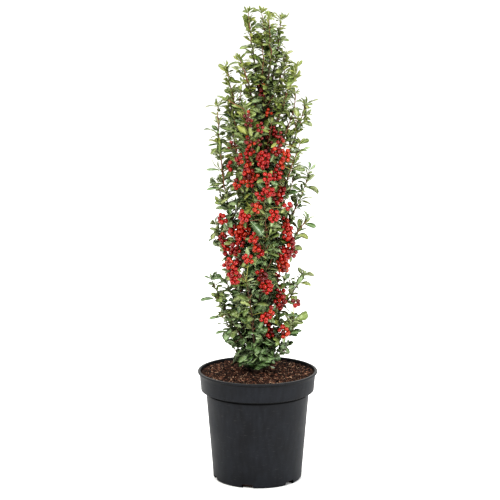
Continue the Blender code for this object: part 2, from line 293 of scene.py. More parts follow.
pot = {
    "height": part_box("pot")[1].z,
    "lipRadius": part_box("pot")[1].x,
    "lipHeight": 0.0042,
    "lipRound": 0.0011,
    "lipNeck": 0.0006,  # the lip's foot stands out this far from the band
    "innerRound": 0.0005,
    "bandTop": 0.1118,
    "bandFoot": 0.1088,
    "bandHeight": 0.038,
    "bandEdge": 0.0012,
    "groove": 0.0012,  # a shallow recess round the body right under the band
    "grooveHeight": 0.0048,
    "bodyEnd": 0.0062,  # the body's straight wall ends this far under the band
    "bodyTop": 0.0990,
    "bodyFoot": 0.0855,
    "footCorner": 0.0045,
    "wall": 0.0018,
    "floor": 0.0025,
    "sides": 168,
    "slots": 6,
    "slotTurn": radians(16.5),
    "slotWidth": 0.022,
    "slotHeight": 0.0075,
    "slotDepth": 0.014,
    "slotCorner": 0.0022,
    "crease": 38,
    "tones": ("#131418", "#1d1f24"),
    "scuffAndHighlightTone": "#77756f",
    "shadeTone": "#040404",
}


def mouldedPolypropylene():
    # PP, injection moulded in a spark-eroded tool: charcoal black, satin, with pale scuffs, a painted
    # highlight on the lip's top edge and painted shade under the band and the lip
    finish, tree, shader = newFinish("mouldedPolypropylene", "#18191b", IOR=1.49, Metallic=0.0,
                                     Specular_IOR_Level=0.25)
    place = addNode(tree, "TexCoord", out="Object")
    # flow marks of recycled granulate run down the wall, about 30 mm long and 8 mm apart
    drawn = addNode(tree, "Mapping", {"Vector": place, "Scale": (1.0, 1.0, 0.28)})
    flow = addNode(tree, "TexNoise", {"Vector": drawn, "Scale": 1 / 0.008, "Detail": 4.0})
    cloud = addNode(tree, "TexNoise", {"Vector": place, "Scale": 1 / 0.045, "Detail": 2.0})
    both = addNode(tree, "Math", {0: flow, 1: cloud}, operation="ADD")
    share = addNode(tree, "MapRange", {"Value": both, "From Min": 0.75, "From Max": 1.3})
    dark, light = (linear(tone) for tone in pot["tones"])
    colour = addNode(tree, "Mix", {0: share, 6: dark, 7: light}, 2, data_type="RGBA")
    # dust and handling scuffs: short pale streaks; and a painted highlight, a pale line along the lip's top
    # edge where it would catch the light
    streak = addNode(tree, "Mapping", {"Vector": place, "Scale": (1.0, 1.0, 5.0)})
    scuff = addNode(tree, "TexNoise", {"Vector": streak, "Scale": 1 / 0.012, "Detail": 6.0, "Roughness": 0.7})
    worn = addNode(tree, "MapRange", {"Value": scuff, "From Min": 0.60, "From Max": 0.82, "To Max": 0.30})
    height = addNode(tree, "SeparateXYZ", {"Vector": place}, "Z")
    # painted highlight: the top 0.6 mm of the lip is mixed towards the pale tone
    paintedLipHighlight = addNode(tree, "MapRange", {"Value": height, "From Min": pot["height"] - 0.0006,
                                         "From Max": pot["height"], "To Max": 0.22})
    scuffsAndLipHighlight = addNode(tree, "Math", {0: worn, 1: paintedLipHighlight}, operation="MAXIMUM")
    colour = addNode(tree, "Mix", {0: scuffsAndLipHighlight, 6: colour, 7: linear(pot["scuffAndHighlightTone"])}, 2, data_type="RGBA")
    # painted shade: right under the band and under the lip the colour is darkened to near black, where the
    # ledges would cast shade
    paintedShadeLedges = (pot["height"] - pot["bandHeight"], 0.009), (pot["height"] - pot["lipHeight"], 0.003)
    for ledge, fade in paintedShadeLedges:
        near = addNode(tree, "MapRange", {"Value": height, "From Min": ledge - fade,
                                          "From Max": ledge - fade * 0.45})
        below = addNode(tree, "Math", {0: height, 1: ledge + 0.0001}, operation="LESS_THAN")
        share = addNode(tree, "Math", {0: near, 1: below}, operation="MULTIPLY")
        shade = linear(pot["shadeTone"])
        colour = addNode(tree, "Mix", {0: share, 6: colour, 7: shade}, 2, data_type="RGBA")
    tree.links.new(colour, shader.inputs["Base Color"])
    gloss = addNode(tree, "MapRange", {"Value": cloud, "From Min": 0.3, "From Max": 0.7,
                                       "To Min": 0.44, "To Max": 0.56})
    tree.links.new(gloss, shader.inputs["Roughness"])
    # the tool's grain is 0.3 mm, drawn at 1.1 mm so that it shows
    grain = addNode(tree, "TexNoise", {"Vector": place, "Scale": 1 / 0.0011, "Detail": 2.0})
    relief = addNode(tree, "Bump", {"Height": grain, "Strength": 0.22, "Distance": 0.0002})
    tree.links.new(relief, shader.inputs["Normal"])
    return finish


def innerWall(height):
    # radius of the pot's inner side at a height
    bandFoot = pot["height"] - pot["bandHeight"]
    if height < bandFoot + pot["wall"]:
        return pot["bodyFoot"] + (pot["bodyTop"] - pot["bodyFoot"]) * height / bandFoot - pot["wall"]
    share = (height - bandFoot) / pot["bandHeight"]
    return pot["bandFoot"] + (pot["bandTop"] - pot["bandFoot"]) * share - pot["wall"]


def corner(centre, radius, start, end, steps):
    # points of an arc, its ends in degrees
    turns = np.radians(np.linspace(start, end, steps + 1))
    return [(centre[0] + radius * cos(t), centre[1] + radius * sin(t)) for t in turns]


def turnedRings(profile, sides):
    # (radius, height) points, each turned into a ring of points
    radii, heights = np.array(profile).T
    return circle(sides)[None] * radii[:, None, None] + up * heights[:, None, None]


def potProfile():
    # (radius, height): outside from the foot's middle up to the lip, then inside down to the floor
    top, foot = pot["height"], pot["footCorner"]
    bandFoot, lipFoot = top - pot["bandHeight"], top - pot["lipHeight"]
    step, edge, lipRound = bandFoot + pot["wall"], pot["bandEdge"], pot["lipRound"]
    centre = 0.002  # the skin closes round this small circle
    profile = [(centre, 0), (0.03, 0), (0.06, 0)]
    profile += corner((pot["bodyFoot"] - foot, foot), foot, -90, 0, 8)
    wallTop = bandFoot - pot["bodyEnd"]
    profile += [(pot["bodyFoot"] + (pot["bodyTop"] - pot["bodyFoot"]) * s, foot + (wallTop - foot) * s)
                for s in np.linspace(0.05, 1, 16)]
    neck = pot["bodyTop"] - pot["groove"]
    profile += [(neck, bandFoot - pot["grooveHeight"]), (neck, bandFoot - edge)]
    profile += [(neck + edge * 0.3, bandFoot - edge * 0.3), (neck + edge, bandFoot)]
    profile += corner((pot["bandFoot"] - edge, bandFoot + edge), edge, -90, 0, 5)
    profile += [(pot["bandFoot"] + (pot["bandTop"] - pot["bandFoot"]) * s, step + (lipFoot - step) * s)
                for s in np.linspace(0.1, 0.97, 6)]
    profile += [(pot["bandTop"] + pot["lipNeck"], lipFoot)]
    profile += corner((pot["lipRadius"] - lipRound, lipFoot + lipRound), lipRound, -80, 0, 4)
    profile += corner((pot["lipRadius"] - lipRound, top - lipRound), lipRound, 0, 90, 6)
    innerRound = pot["innerRound"]
    profile += corner((innerWall(top) + innerRound, top - innerRound), innerRound, 90, 180, 3)
    profile += [(innerWall(h), h) for h in (top - 0.006, top - 0.018, step + 0.0003)]
    profile += [(innerWall(step - 0.0003), step)]
    profile += [(innerWall(h), h) for h in (step * 0.75, step * 0.5, step * 0.25, pot["floor"])]
    profile += [(0.05, pot["floor"]), (centre, pot["floor"])]
    return profile


def slotCutter(index):
    # an arched notch through the corner of wall and floor
    half, high, bend = pot["slotWidth"] / 2, pot["slotHeight"], pot["slotCorner"]
    outline = [(-half, -high), (half, -high)]
    outline += corner((half - bend, high - bend), bend, 0, 90, 5)
    outline += corner((-half + bend, high - bend), bend, 90, 180, 5)
    radial = level(2 * pi * index / pot["slots"] + pot["slotTurn"])
    aside = np.cross(up, radial)
    ends = pot["bodyFoot"] - pot["slotDepth"], pot["bodyFoot"] + pot["footCorner"]
    rings = np.array([[radial * end + aside * a + up * h for a, h in outline] for end in ends])
    points, faces = ringed(rings)
    mesh = bpy.data.meshes.new("slotCutter")
    mesh.from_pydata(points.tolist(), [], [[c for c in face if c >= 0] for face in faces.tolist()])
    return putInScene("slotCutter", mesh)


def makePot():
    skin = Heap(*ringed(turnedRings(potProfile(), pot["sides"])), 0)
    made = pieceOf("nurseryPot", skin, [mouldedPolypropylene()], ["pot"])
    cutters = [slotCutter(index) for index in range(pot["slots"])]
    for cutter in cutters:
        cut = made.modifiers.new("slot", "BOOLEAN")
        cut.operation, cut.solver, cut.object = "DIFFERENCE", "EXACT", cutter
    bpy.context.view_layer.update()
    cutMesh = bpy.data.meshes.new_from_object(made.evaluated_get(bpy.context.evaluated_depsgraph_get()))
    made.modifiers.clear()
    made.data = cutMesh
    cutMesh.shade_smooth()
    cutMesh.set_sharp_from_angle(angle=radians(pot["crease"]))
    for cutter in cutters:
        bpy.data.objects.remove(cutter, do_unlink=True)


makePot()
print("pot turned and its slots cut")


# compost

compost = {
    "belowLip": 0.007,
    "clearance": 0.0003,
    "slack": 0.006,  # it stays back a little from the slots in the pot's foot
    "sides": 180,
    "rings": 74,
    "lumps": 0.0019,
    "coarse": (0.020, 0.0045),  # longest and shortest waves of its clods, and of its crumbs
    "fine": (0.0045, 0.0018),
    "mound": 0.002,  # round the stems' foot
    "moundRadius": 0.03,
    "heaped": 0.0014,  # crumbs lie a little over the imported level
    "chips": 3600,
    "chipLength": (2.0, 11.0),  # mm
    "chipWidth": (0.12, 0.34),  # share of its length
    "chipLeastWidth": 0.0012,
    "chipMostHeight": 0.0017,
    "fibres": 620,
    "fibreLength": (4, 14),  # mm
    "fibreRadius": (0.2, 0.45),  # mm
    "peatTones": ("#0b0604", "#482e20"),
    "dampTone": "#33221a",
    "chipTones": ("#0a0605", "#1f130e", "#3a241b", "#5b3a2b", "#7d5846", "#9f7b64", "#c6a88e"),
    "chipShares": (0.22, 0.21, 0.22, 0.18, 0.115, 0.043, 0.012),
}
soilTop = pot["height"] - compost["belowLip"]


def peatCompost():
    # milled peat and composted bark: dull, dark red-brown, crumbs of 2 to 5 mm with lighter bits
    finish, tree, shader = newFinish("peatCompost", "#2b1b14", Roughness=0.96, IOR=1.45)
    place = addNode(tree, "TexCoord", out="Object")
    crumbs = addNode(tree, "TexVoronoi", {"Vector": place, "Scale": 1 / 0.0034}, "Color")
    grey = addNode(tree, "RGBToBW", {"Color": crumbs})
    dark, light = (linear(tone) for tone in compost["peatTones"])
    mixed = addNode(tree, "Mix", {0: grey, 6: dark, 7: light}, 2, data_type="RGBA")
    damp = addNode(tree, "TexNoise", {"Vector": place, "Scale": 1 / 0.02, "Detail": 5.0})
    share = addNode(tree, "MapRange", {"Value": damp, "From Min": 0.35, "From Max": 0.65})
    colour = addNode(tree, "Mix", {0: share, 6: mixed, 7: linear(compost["dampTone"])}, 2, data_type="RGBA")
    tree.links.new(colour, shader.inputs["Base Color"])
    fine = addNode(tree, "TexNoise", {"Vector": place, "Scale": 1 / 0.0016, "Detail": 6.0})
    relief = addNode(tree, "Bump", {"Height": fine, "Strength": 0.8, "Distance": 0.0008})
    tree.links.new(relief, shader.inputs["Normal"])
    return finish


def compostLevel(places):
    # height of the surface over points (x, y): crumbs, hollows and a low mound at the foot
    away = norm(places, axis=-1)
    uneven = 0.6 * rough(places, 3, *compost["coarse"]) + 0.4 * rough(places, 4, *compost["fine"])
    mound = compost["mound"] * np.exp(-(away / compost["moundRadius"]) ** 2)
    return soilTop + compost["heaped"] + mound + compost["lumps"] * uneven


def makeCompost():
    step = pot["height"] - pot["bandHeight"] + pot["wall"]
    gap, bottom = compost["clearance"], pot["floor"] + compost["clearance"]
    edge = innerWall(soilTop) - gap
    slack = compost["slack"]
    side = [(0.002, bottom), (innerWall(bottom) - slack, bottom)]
    side += [(innerWall(bottom + slack) - gap, bottom + slack)]
    side += [(innerWall(step - gap) - gap, step + gap), (innerWall(step + gap) - gap, step + gap)]
    top = [(radius, soilTop) for radius in np.linspace(edge, 0.001, compost["rings"])]
    rings = turnedRings(side + top, compost["sides"])
    surface = rings[len(side):]
    surface[..., 2] = compostLevel(surface[..., :2])
    pieceOf("peatPlug", Heap(*ringed(rings), 0), [peatCompost()], ["soil"], crease=60)
    return edge


def chipShape():
    # a lens-like flake: a ring of six points, two points above it and one below
    points = np.concatenate([circle(6), [(0.25, 0, 0.5), (-0.3, 0.1, 0.5), (0, 0, -0.5)]])
    faces = [((i + 1) % 6, i, 8, -1) for i in range(6)]
    faces += [(0, 1, 6, -1), (1, 2, 7, 6), (2, 3, 7, -1), (3, 4, 7, -1), (4, 5, 6, 7), (5, 0, 6, -1)]
    return points, np.array(faces)


def strewn(own, reach):
    # a place within reach of the pot's middle, as likely here as there
    away, around = reach * sqrt(own.uniform(0.01, 1)), anyTurn(own)
    return np.array((away * cos(around), away * sin(around)))


def strewChips(own, heap, edge):
    # flakes of bark, each a little out of shape, tipped and rolled on the surface
    base, faces = chipShape()
    for tone in own.choice(len(compost["chipTones"]), compost["chips"], p=compost["chipShares"]):
        long = own.uniform(*compost["chipLength"]) ** 0.9 * mm
        wide = max(long * own.uniform(*compost["chipWidth"]), compost["chipLeastWidth"])
        size = np.array((long / 2, wide / 2, min(long * 0.35, compost["chipMostHeight"])))
        turn, tilt, roll = anyTurn(own), own.normal(0, 0.35), own.normal(0, 0.5)
        x, y = strewn(own, edge - 0.004)
        z = compostLevel(np.array((x, y))) + own.uniform(0, 0.0008)
        points = (base + own.normal(0, 0.12, base.shape)) * size
        ahead = unit(level(turn) + up * sin(tilt))
        beside = unit(np.cross(up, ahead)) + up * sin(roll)
        beside = unit(beside - ahead * beside.dot(ahead))
        heap.add(points @ np.array((ahead, beside, np.cross(ahead, beside))) + (x, y, z), faces, tone)


def strewFibres(own, heap, edge):
    # shreds that lie bent on the surface, within the rim
    for _ in range(compost["fibres"]):
        line = [strewn(own, edge - 0.008)]
        turn, bend = anyTurn(own), own.normal(0, 0.5)
        long = own.uniform(*compost["fibreLength"]) * mm
        for _ in range(4):
            line.append(line[-1] + long / 4 * level(turn)[:2])
            turn += bend
        line = np.array(line)
        if norm(line, axis=1).max() < edge - 0.001:
            height = compostLevel(line) + 0.0006 + own.uniform(0, 0.0006, 5)
            thick = own.uniform(*compost["fibreRadius"]) * mm * np.array((0.5, 1, 1, 1, 0.5))
            heap.add(*tube(np.column_stack([line, height]), thick, 4), own.choice((2, 3, 4, 5, 6)))


def makeChips(edge):
    # shredded bark: dull broken flakes, dark where damp and tan where torn
    own, heap = np.random.default_rng(11), Heap()
    strewChips(own, heap, edge)
    strewFibres(own, heap, edge)
    finishes = newFinishes("shreddedBark", compost["chipTones"], Roughness=0.9, IOR=1.45)
    pieceOf("barkChips", heap, finishes, crease=35)


makeChips(makeCompost())
print("compost filled and strewn with bark")


# limbs: the trunk and its shoots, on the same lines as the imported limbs

trunk = {
    "top": 0.775,
    "footRadius": 0.0062,
    "topRadius": 0.0024,
    "lean": 0.014,
    "wander": 0.0025,
    "flareRadius": 0.0050,
    "flareHeight": 0.014,
    "roots": 5,
    "rootLobes": 0.16,
    "sunk": 0.003,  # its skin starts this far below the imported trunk's foot
    "budStep": 0.013,
    "sides": 30,
    "ringStep": 0.0022,
}

stem = {
    "footRadius": 0.0030,
    "bareEndRadius": 0.0017,
    "tipRadius": 0.0006,
    "woodyShare": 0.95,  # the last stretch up to the tip is young leaves only
    "wander": 0.006,
    "sides": 10,
    "ringStep": 0.0026,
    "kink": 0.0007,  # stems turn a little at each bud
    "kinkStep": 0.012,
    "youngFrom": 0.45,  # share of the leafy part over which the bark is young
    "youngAbove": 0.43,  # and the height over which it may be
}

# name, bearing in degrees (0 right, 90 back, 180 left, 270 front), height where it leaves the trunk, reach,
# height of its tip, bow, bare share of its length, widest radius of its foliage
Shoot = namedtuple("Shoot", "name bearing root reach tip bow bare radius")
shoots = [Shoot(*row) for row in (
    ("centre_leader", 100, trunk["top"], 0.012, 0.901, 1.0, 0.00, 0.013),
    ("left_leader", 184, 0.706, 0.030, 0.908, 1.2, 0.40, 0.017),
    ("right_leader", 298, 0.716, 0.032, 0.896, 1.5, 0.40, 0.014),
    ("top_right", 4, 0.690, 0.033, 0.894, 1.5, 0.48, 0.014),
    ("top_left", 205, 0.680, 0.050, 0.816, 1.0, 0.42, 0.017),
    ("upper_right", 346, 0.620, 0.071, 0.806, 1.1, 0.36, 0.022),
    ("upper_left", 172, 0.560, 0.064, 0.806, 1.2, 0.34, 0.022),
    ("far_right", 20, 0.500, 0.099, 0.734, 1.1, 0.34, 0.023),
    ("left_long", 190, 0.350, 0.076, 0.742, 2.2, 0.24, 0.022),
    ("right_middle", 328, 0.450, 0.098, 0.668, 1.1, 0.36, 0.027),
    ("right_outer", 10, 0.390, 0.102, 0.610, 1.3, 0.34, 0.023),
    ("right_side", 346, 0.345, 0.104, 0.520, 0.9, 0.38, 0.024),
    ("right_low", 12, 0.265, 0.093, 0.402, 1.1, 0.36, 0.021),
    ("right_foot", 340, 0.224, 0.080, 0.322, 0.9, 0.34, 0.026),
    ("left_foot", 164, 0.226, 0.072, 0.316, 1.0, 0.36, 0.017),
    ("left_low", 196, 0.236, 0.093, 0.404, 1.3, 0.36, 0.022),
    ("left_side", 160, 0.330, 0.084, 0.502, 1.3, 0.36, 0.025),
    ("front_low", 256, 0.230, 0.078, 0.410, 1.5, 0.30, 0.030),
    ("front_middle", 284, 0.320, 0.076, 0.560, 1.6, 0.28, 0.031),
    ("front_upper", 250, 0.470, 0.070, 0.740, 1.4, 0.28, 0.029),
    ("back_low", 84, 0.236, 0.084, 0.440, 1.4, 0.30, 0.032),
    ("back_middle", 66, 0.340, 0.084, 0.610, 1.5, 0.28, 0.033),
    ("back_left", 122, 0.420, 0.082, 0.690, 1.5, 0.28, 0.032),
    ("back_upper", 80, 0.530, 0.066, 0.796, 1.4, 0.28, 0.029),
)]


def barkFinish(name, dark, light, flake, scaleLength, gloss):
    # smooth-barked hawthorn-like wood: fine cracks along the limb, small pale breathing pores across it
    finish, tree, shader = newFinish(name, dark, Roughness=gloss, IOR=1.45)
    place = addNode(tree, "TexCoord", out="Object")
    drawn = addNode(tree, "Mapping", {"Vector": place, "Scale": (1.0, 1.0, 0.22)})
    cracks = addNode(tree, "TexNoise", {"Vector": drawn, "Scale": 1 / scaleLength, "Detail": 6.0,
                                        "Roughness": 0.65})
    share = addNode(tree, "MapRange", {"Value": cracks, "From Min": 0.38, "From Max": 0.62})
    wood = addNode(tree, "Mix", {0: share, 6: linear(dark), 7: linear(light)}, 2, data_type="RGBA")
    # pores lie 4 mm apart round the limb and 1.6 mm along it, drawn a little large so that they show
    flat = addNode(tree, "Mapping", {"Vector": place, "Scale": (1.0, 1.0, 2.6)})
    pores = addNode(tree, "TexVoronoi", {"Vector": flat, "Scale": 1 / 0.0042})
    share = addNode(tree, "MapRange", {"Value": pores, "From Min": 0.10, "From Max": 0.20,
                                       "To Min": 0.7, "To Max": 0.0})
    colour = addNode(tree, "Mix", {0: share, 6: wood, 7: linear(flake)}, 2, data_type="RGBA")
    tree.links.new(colour, shader.inputs["Base Color"])
    relief = addNode(tree, "Bump", {"Height": cracks, "Strength": 0.6, "Distance": 0.0005})
    tree.links.new(relief, shader.inputs["Normal"])
    return finish


def trunkAxis(height):
    # the trunk's middle at a height, or at many
    height = np.asarray(height, float)
    share = (height - soilTop) / (trunk["top"] - soilTop)
    sway = trunk["wander"] * np.sin(2 * pi * share) * share
    return np.stack([trunk["lean"] * share**3 - sway * 0.6, sway, height], axis=-1)


def fromTrunk(point):
    # how far a point stands from the trunk's middle
    return np.hypot(*(point - trunkAxis(point[2]))[:2])


def shootPoint(shoot, share):
    # a point on a shoot's line, from the middle of the trunk at 0 to its tip at 1
    share = np.asarray(share, float)[..., None]
    turn = radians(shoot.bearing)
    outward = level(turn)
    away = shoot.reach * (1 - (1 - share) ** shoot.bow)
    sway = stem["wander"] * np.sin(2 * pi * share + turn) * share
    rise = up * (shoot.tip - shoot.root) * share
    return trunkAxis(shoot.root) + outward * away + np.cross(up, outward) * sway + rise


bark = {
    "ridges": 9,
    "ridgeDepth": 0.035,  # share of the limb's radius
    "ridgeLength": (0.009, 0.06),
    "budSwelling": 0.16,
    "budLength": 0.0014,
}


def barkRelief(alongs, sides, seed, buds):
    # shallow ridges that wind along a limb, and a swelling at each bud, as shares of its radius
    own = np.random.default_rng(seed)
    turns = evenTurns(sides)
    total = np.zeros((len(alongs), sides))
    for _ in range(bark["ridges"]):
        ridge = own.integers(1, 6) * turns + anyTurn(own)
        total += np.sin(ridge + 2 * pi * alongs[:, None] / own.uniform(*bark["ridgeLength"]))
    swelling = np.exp(-((alongs[:, None] - buds) / bark["budLength"]) ** 2).sum(axis=1)
    return 1 + bark["ridgeDepth"] * total + bark["budSwelling"] * swelling[:, None].clip(0, 1)


def makeTrunk(finishes):
    foot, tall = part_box("trunk")[0].z, trunk["top"] - soilTop
    heights = np.arange(foot - trunk["sunk"], trunk["top"], trunk["ringStep"])
    share = ((heights - soilTop) / tall).clip(0, 1)
    flare = np.exp(-share / (trunk["flareHeight"] / tall))
    radius = trunk["footRadius"] + (trunk["topRadius"] - trunk["footRadius"]) * share**0.9
    radius += trunk["flareRadius"] * flare
    lobes = 1 + trunk["rootLobes"] * flare[:, None] * np.cos(trunk["roots"] * evenTurns(trunk["sides"]))
    buds = np.arange(foot, trunk["top"], trunk["budStep"])
    radii = radius[:, None] * lobes * barkRelief(heights, trunk["sides"], 5, buds)
    skin = Heap(*tube(trunkAxis(heights), radii, trunk["sides"]), 0)
    pieceOf("barkOfTrunk", skin, finishes, ["trunk"])


class Line:
    # a limb's centre line, with its length measured
    def __init__(self, points):
        self.points = points
        self.lengths = np.concatenate(([0], np.cumsum(norm(np.diff(points, axis=0), axis=1))))
        self.length = self.lengths[-1]

    def at(self, along):
        return np.array([np.interp(along, self.lengths, column) for column in self.points.T])

    def way(self, along):
        return unit(self.at(min(along + mm, self.length)) - self.at(max(along - mm, 0)))


def shootLine(index):
    # the shoot's smooth line, kinked a little from bud to bud
    own = np.random.default_rng(100 + index)
    shares = np.linspace(0, stem["woodyShare"], 160)
    points = shootPoint(shoots[index], shares)
    knots = np.linspace(0, 1, max(6, int(norm(points[-1] - points[0]) / stem["kinkStep"])))
    kinks = own.normal(0, stem["kink"], (len(knots), 3))
    kinks[0] = 0
    return Line(points + np.array([np.interp(shares, knots, column) for column in kinks.T]).T)


def makeStem(index, buds, finishes):
    shoot, line, sides = shoots[index], lines[index], stem["sides"]
    alongs = np.arange(0, line.length, stem["ringStep"])
    foot = stem["footRadius"] if shoot.bare else trunk["topRadius"]
    bareEnd = min(foot, stem["bareEndRadius"])
    ends = (0, max(shoot.bare, 0.01), 1)
    radius = np.interp(alongs / line.length, ends, (foot, bareEnd, stem["tipRadius"]))
    relief = barkRelief(alongs, sides, 200 + index, buds)
    centres = np.array([line.at(along) for along in alongs])
    points, faces = tube(centres, radius[:, None] * relief, sides)
    # old bark gives way to young bark about halfway up the leafy part, low down not at all
    grown = np.linspace(0, 1, len(alongs) - 1)[:, None]
    grown = grown + np.random.default_rng(300 + index).normal(0, 0.03, sides)
    young = grown > shoot.bare + (1 - shoot.bare) * stem["youngFrom"]
    young &= centres[1:, 2:] > stem["youngAbove"]
    caps = [np.zeros(sides, int), np.full(sides, young[-1].any(), int)]
    skin = Heap(points, faces, np.concatenate([young.ravel().astype(int), *caps]))
    pieceOf(f"stem_{shoot.name}", skin, finishes, [f"bough_{shoot.name}"] if shoot.bare else [])


oldBark = barkFinish("firethornOldBark", "#33261e", "#5b473a", "#8a7664", 0.0022, 0.78)
youngBark = barkFinish("firethornYoungBark", "#5b3a29", "#875c44", "#b08d6c", 0.0018, 0.50)
lines = [shootLine(index) for index in range(len(shoots))]
makeTrunk([oldBark, youngBark])
print("trunk made")


# foliage

foliage = {
    "budStep": 0.0115,  # between sprays along a stem
    "leavesInSpray": (4, 7),
    "leafLength": ((0.21, 0.27, 0.35, 0.50, 0.62, 0.74, 0.91),  # mean length by height
                   (0.0245, 0.0245, 0.0255, 0.0265, 0.0255, 0.0235, 0.0205)),
    "leafWidth": ((0.21, 0.27, 0.40, 0.60, 0.90),  # share of its length, by height
                  (0.68, 0.58, 0.42, 0.35, 0.32)),
    "lengthSpread": 0.22,
    "shortest": 0.009,
    "longest": 0.038,
    "thickness": 0.00035,
    "fold": (0.12, 0.42),  # radians that a leaf's halves rise from flat
    "twist": 0.35,
    "spurAngle": (44, 66),
    "spurRadius": (0.0009, 0.0005),
    "thorns": 0.10,  # share of spurs that bear one
    "stray": (0.95, 1.70),  # how far leaf tips end from the edge of their mass
    "farthest": 0.127,  # no leaf reaches further from the pot's middle
    "outerShoots": ((0.045, 0.085), (1.0, 0.6)),  # share of the leaves on shoots that stand out, by distance
    "fan": radians(48),  # how widely a spray's leaves spread to both sides
    "rise": (radians(30), radians(17)),  # of a leaf's foot over the level, and how it varies
    "arch": (0.35, 1.15),  # radians that a leaf of 24 mm bends down on its way to the tip
    "sideways": ((0.23, 0.32), (0.6, 0.3)),  # share of leaves that lie along the crown's face, by height
    "twigTones": ("#6d4632", "#83573f", "#553626", "#84703e"),
}

# yellow-green at the tips, olive on the outside, blue-green inside and at the foot: blades, underside,
# rib, roughness
leafTones = {
    "young": (("#616e2c", "#6f7a35", "#536126", "#828746"), "#888f58", "#9ca268", 0.38),
    "grown": (("#687741", "#76844a", "#596a36", "#858e58", "#6c7a4a"), "#939b74", "#a2a87c", 0.31),
    "deep": (("#5d7346", "#70865a", "#4f653d", "#86966c", "#475b38"), "#8f9b7d", "#9ca78a", 0.28),
}


def leafFinishes():
    # living leaves: leathery, half glossy above, dull and paler below. Plain colours, dealt out by spray
    finishes, shades, starts = [], {}, {}
    for age, (blades, underside, rib, gloss) in leafTones.items():
        starts[age] = len(finishes)
        finishes += newFinishes(f"{age}LeafBlade", blades, Roughness=gloss, IOR=1.5)
        lower = len(finishes)
        shades.update({blade: (lower, lower + 1) for blade in range(starts[age], lower)})
        finishes.append(newFinish(f"{age}LeafUnderside", underside, Roughness=0.62, IOR=1.42)[0])
        finishes.append(newFinish(f"{age}LeafRib", rib, Roughness=0.5, IOR=1.42)[0])
    return finishes, shades, starts


leafLook, shadeOf, ageStart = leafFinishes()

stations = np.array((0.07, 0.20, 0.38, 0.57, 0.75, 0.90))  # along the blade, between its two ends


def leafFaces():
    # five points at each station: left edge, two beside the rib, right edge and one under the rib
    round5 = ((0, 1, 0), (1, 2, 2), (2, 3, 0), (3, 4, 1), (4, 0, 1))  # from, to, part: blade, underside, rib
    faces, parts = [], []
    count = len(stations)
    stalk, tip, last = 5 * count, 5 * count + 1, 5 * (count - 1)
    for row in range(count - 1):
        low, high = 5 * row, 5 * row + 5
        for left, right, part in round5:
            faces.append((low + left, low + right, high + right, high + left))
            parts.append(part)
    for left, right, part in round5:
        faces.append((stalk, right, left, -1))
        faces.append((last + left, last + right, tip, -1))
        parts += [part, part]
    return np.array(faces), np.array(parts)


bladeFaces, bladeParts = leafFaces()


def growBlades(rows):
    # every leaf of a mass at once: a folded, arched and slightly twisted blade on its own stalk
    rows = np.array(rows)
    base, ahead, face = rows[:, 0:3], rows[:, 3:6], rows[:, 6:9]
    long, wide, arch, fold, twist, full = (rows[:, k, None] for k in range(9, 15))
    tone = rows[:, 15].astype(int)
    face = face - ahead * (face * ahead).sum(axis=1)[:, None]
    face /= norm(face, axis=1)[:, None]
    beside = np.cross(face, ahead)
    u = np.concatenate((stations, (0.0, 1.0)))
    bend = arch * u
    forward = long * np.where(arch > 1e-3, np.sin(bend) / np.maximum(arch, 1e-3), u)
    drop = -long * np.where(arch > 1e-3, (1 - np.cos(bend)) / np.maximum(arch, 1e-3), 0)
    blade = ((u - 0.05) / 0.95).clip(0, 1)  # a bare stalk comes first
    outline = np.sin(pi * blade ** (1.42 - 0.16 * full)) ** (0.80 - 0.28 * full)
    half = np.maximum(wide / 2 * outline, 0.00035)
    roll = twist * u
    normal = face[:, None] * np.cos(bend)[..., None] + ahead[:, None] * np.sin(bend)[..., None]
    flat = beside[:, None] * np.cos(roll)[..., None] + normal * np.sin(roll)[..., None]
    raised = normal * np.cos(roll)[..., None] - beside[:, None] * np.sin(roll)[..., None]
    middle = base[:, None] + ahead[:, None] * forward[..., None] + face[:, None] * drop[..., None]
    lift = (half * np.sin(fold))[..., None] * raised
    reach = (half * np.cos(fold))[..., None] * flat
    ripple = (half * 0.10 * np.sin(9 * u + 40 * long * twist * 100))[..., None] * raised
    rib = np.minimum(half * 0.3, 0.00022)[..., None] * flat
    thick = foliage["thickness"] * raised
    count = len(stations)
    columns = (middle - reach + lift + ripple, middle - rib, middle + rib, middle + reach + lift - ripple,
               middle - thick)
    grid = np.stack([column[:, :count] for column in columns], axis=2).reshape(len(rows), -1, 3)
    points = np.concatenate([grid, middle[:, count:]], axis=1)
    faces = bladeFaces[None] + (np.arange(len(rows)) * points.shape[1])[:, None, None]
    faces = np.where(bladeFaces[None] < 0, -1, faces)
    shades = np.array([(t, *shadeOf[t]) for t in tone])
    return points.reshape(-1, 3), faces.reshape(-1, 4), shades[:, bladeParts].ravel()


class Growth:
    # what grows on the limbs: leaf rows for each mass, and twigs
    def __init__(self):
        self.leaves = {}
        self.twigs = Heap()

    def addLeaf(self, mass, foot, ahead, face, *shape):
        # its shape is length, width, arch, fold, twist, fullness and tone
        self.leaves.setdefault(mass, []).append((*foot, *ahead, *face, *shape))


growth = Growth()


def pickTones(own, height, tipward, inside):
    # a spray's leaves share an age, and mostly a tone
    tipYouth = np.interp(height, (0.35, 0.75), (0.15, 1.0)) * max(tipward - 0.55, 0) / 0.45
    young = np.interp(height, (0.45, 0.60, 0.72, 0.88), (0.02, 0.10, 0.36, 0.70)) * (1 - 0.8 * inside)
    young += 0.3 * tipYouth
    deep = np.interp(height, (0.22, 0.34, 0.55, 0.72, 0.78), (0.85, 0.55, 0.28, 0.10, 0.0)) + 0.45 * inside
    draw = own.uniform()
    age = "young" if draw < young else "deep" if own.uniform() < deep else "grown"
    blades = len(leafTones[age][0])
    main = own.integers(blades)
    return [ageStart[age] + (main if own.uniform() < 0.5 else own.integers(blades)) for _ in range(12)]


